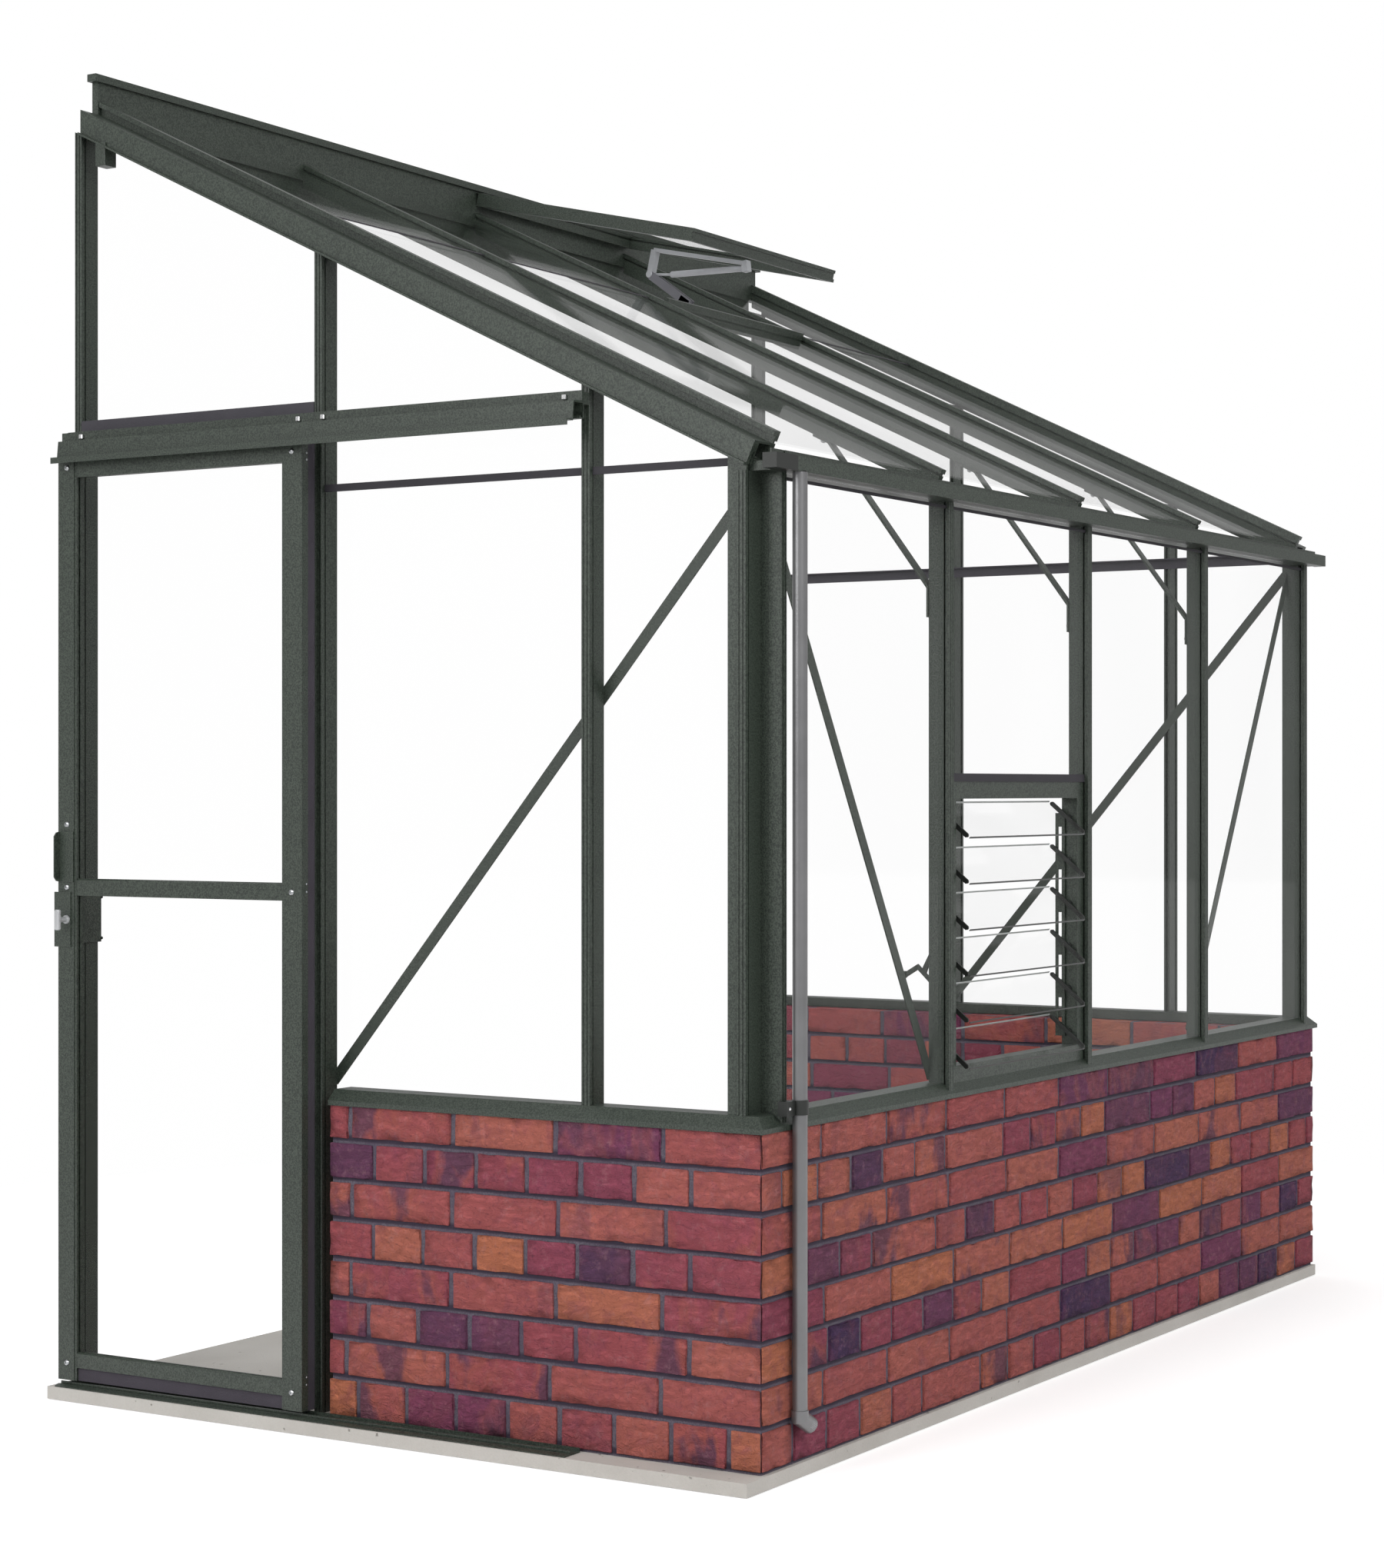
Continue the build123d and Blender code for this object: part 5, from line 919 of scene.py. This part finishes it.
def make_stage():
    # A matt floor that keeps the shadow near the object and fades to plain white
    bpy.ops.mesh.primitive_plane_add(size=FLOOR_SIZE, location=(0, 0, FLOOR_Z - 0.001))
    floor = bpy.context.object
    floor.name = "studio_floor"
    m = Nodes("studio_floor")
    fine = m.noise(2.0, 2.0)
    paint = m.add("ShaderNodeBsdfDiffuse")
    m.set(paint, "Color", m.ramp(fine, (0.0, (0.86, 0.86, 0.86)), (1.0, (0.88, 0.88, 0.88))))
    path = m.add("ShaderNodeLightPath")
    seen = m.sum(path.outputs["Is Camera Ray"], path.outputs["Is Glossy Ray"], "MAXIMUM")
    seen = m.sum(seen, path.outputs["Is Transmission Ray"], "MAXIMUM")
    glow = m.add("ShaderNodeEmission")
    m.set(glow, "Strength", m.sum(seen, FLOOR_GLOW, "MULTIPLY"))
    both = m.add("ShaderNodeAddShader")
    m.tree.links.new(paint.outputs[0], both.inputs[0])
    m.tree.links.new(glow.outputs[0], both.inputs[1])
    white = m.add("ShaderNodeEmission")
    reach = m.add("ShaderNodeVectorMath", operation="LENGTH")
    m.set(reach, 0, m.place())
    far = m.span(reach.outputs["Value"], 0.0, 1.0, *FLOOR_FADE)
    fade = m.add("ShaderNodeMixShader")
    m.set(fade, "Fac", m.sum(far, seen, "MULTIPLY"))
    m.tree.links.new(both.outputs[0], fade.inputs[1])
    m.tree.links.new(white.outputs[0], fade.inputs[2])
    m.finish(fade.outputs[0])
    floor.data.materials.append(m.material)


SKY_LOW = 0.5
SKY_HIGH = 0.85


def make_world():
    # White where the camera sees it, and a sky that is brighter overhead where it lights
    world = bpy.data.worlds.new("studio")
    bpy.context.scene.world = world
    world.use_nodes = True
    tree = world.node_tree
    tree.nodes.clear()
    out = tree.nodes.new("ShaderNodeOutputWorld")
    lit = tree.nodes.new("ShaderNodeBackground")
    place = tree.nodes.new("ShaderNodeTexCoord")
    apart = tree.nodes.new("ShaderNodeSeparateXYZ")
    tree.links.new(place.outputs["Generated"], apart.inputs[0])
    rise = tree.nodes.new("ShaderNodeMapRange")
    rise.inputs["To Min"].default_value = SKY_LOW
    rise.inputs["To Max"].default_value = SKY_HIGH
    tree.links.new(apart.outputs["Z"], rise.inputs["Value"])
    tree.links.new(rise.outputs["Result"], lit.inputs["Strength"])
    lit.inputs["Color"].default_value = (1, 1, 1, 1)
    seen = tree.nodes.new("ShaderNodeBackground")
    seen.inputs["Color"].default_value = (1, 1, 1, 1)
    seen.inputs["Strength"].default_value = 1.0
    path = tree.nodes.new("ShaderNodeLightPath")
    most = tree.nodes.new("ShaderNodeMath")
    most.operation = "MAXIMUM"
    tree.links.new(path.outputs["Is Camera Ray"], most.inputs[0])
    tree.links.new(path.outputs["Is Transmission Ray"], most.inputs[1])
    mix = tree.nodes.new("ShaderNodeMixShader")
    tree.links.new(most.outputs[0], mix.inputs["Fac"])
    tree.links.new(lit.outputs[0], mix.inputs[1])
    tree.links.new(seen.outputs[0], mix.inputs[2])
    tree.links.new(mix.outputs[0], out.inputs["Surface"])


def add_lamp(name, place, target, size, power):
    data = bpy.data.lights.new(name, "AREA")
    data.shape = "SQUARE"
    data.size = size
    data.energy = power
    lamp = bpy.data.objects.new(name, data)
    lamp.location = place
    heading = Vector(target) - Vector(place)
    lamp.rotation_euler = heading.to_track_quat("-Z", "Y").to_euler()
    bpy.context.scene.collection.objects.link(lamp)


make_stage()
make_world()
add_lamp("key", (-3.5, -6.0, 5.0), (0, 0, 1.0), size=3.0, power=215.0)
add_lamp("side", (-7.0, 1.0, 3.5), (-1, 0, 1.0), size=3.0, power=172.0)

view = bpy.context.scene.view_settings
view.view_transform = "Standard"
bpy.context.scene.cycles.transparent_max_bounces = 32
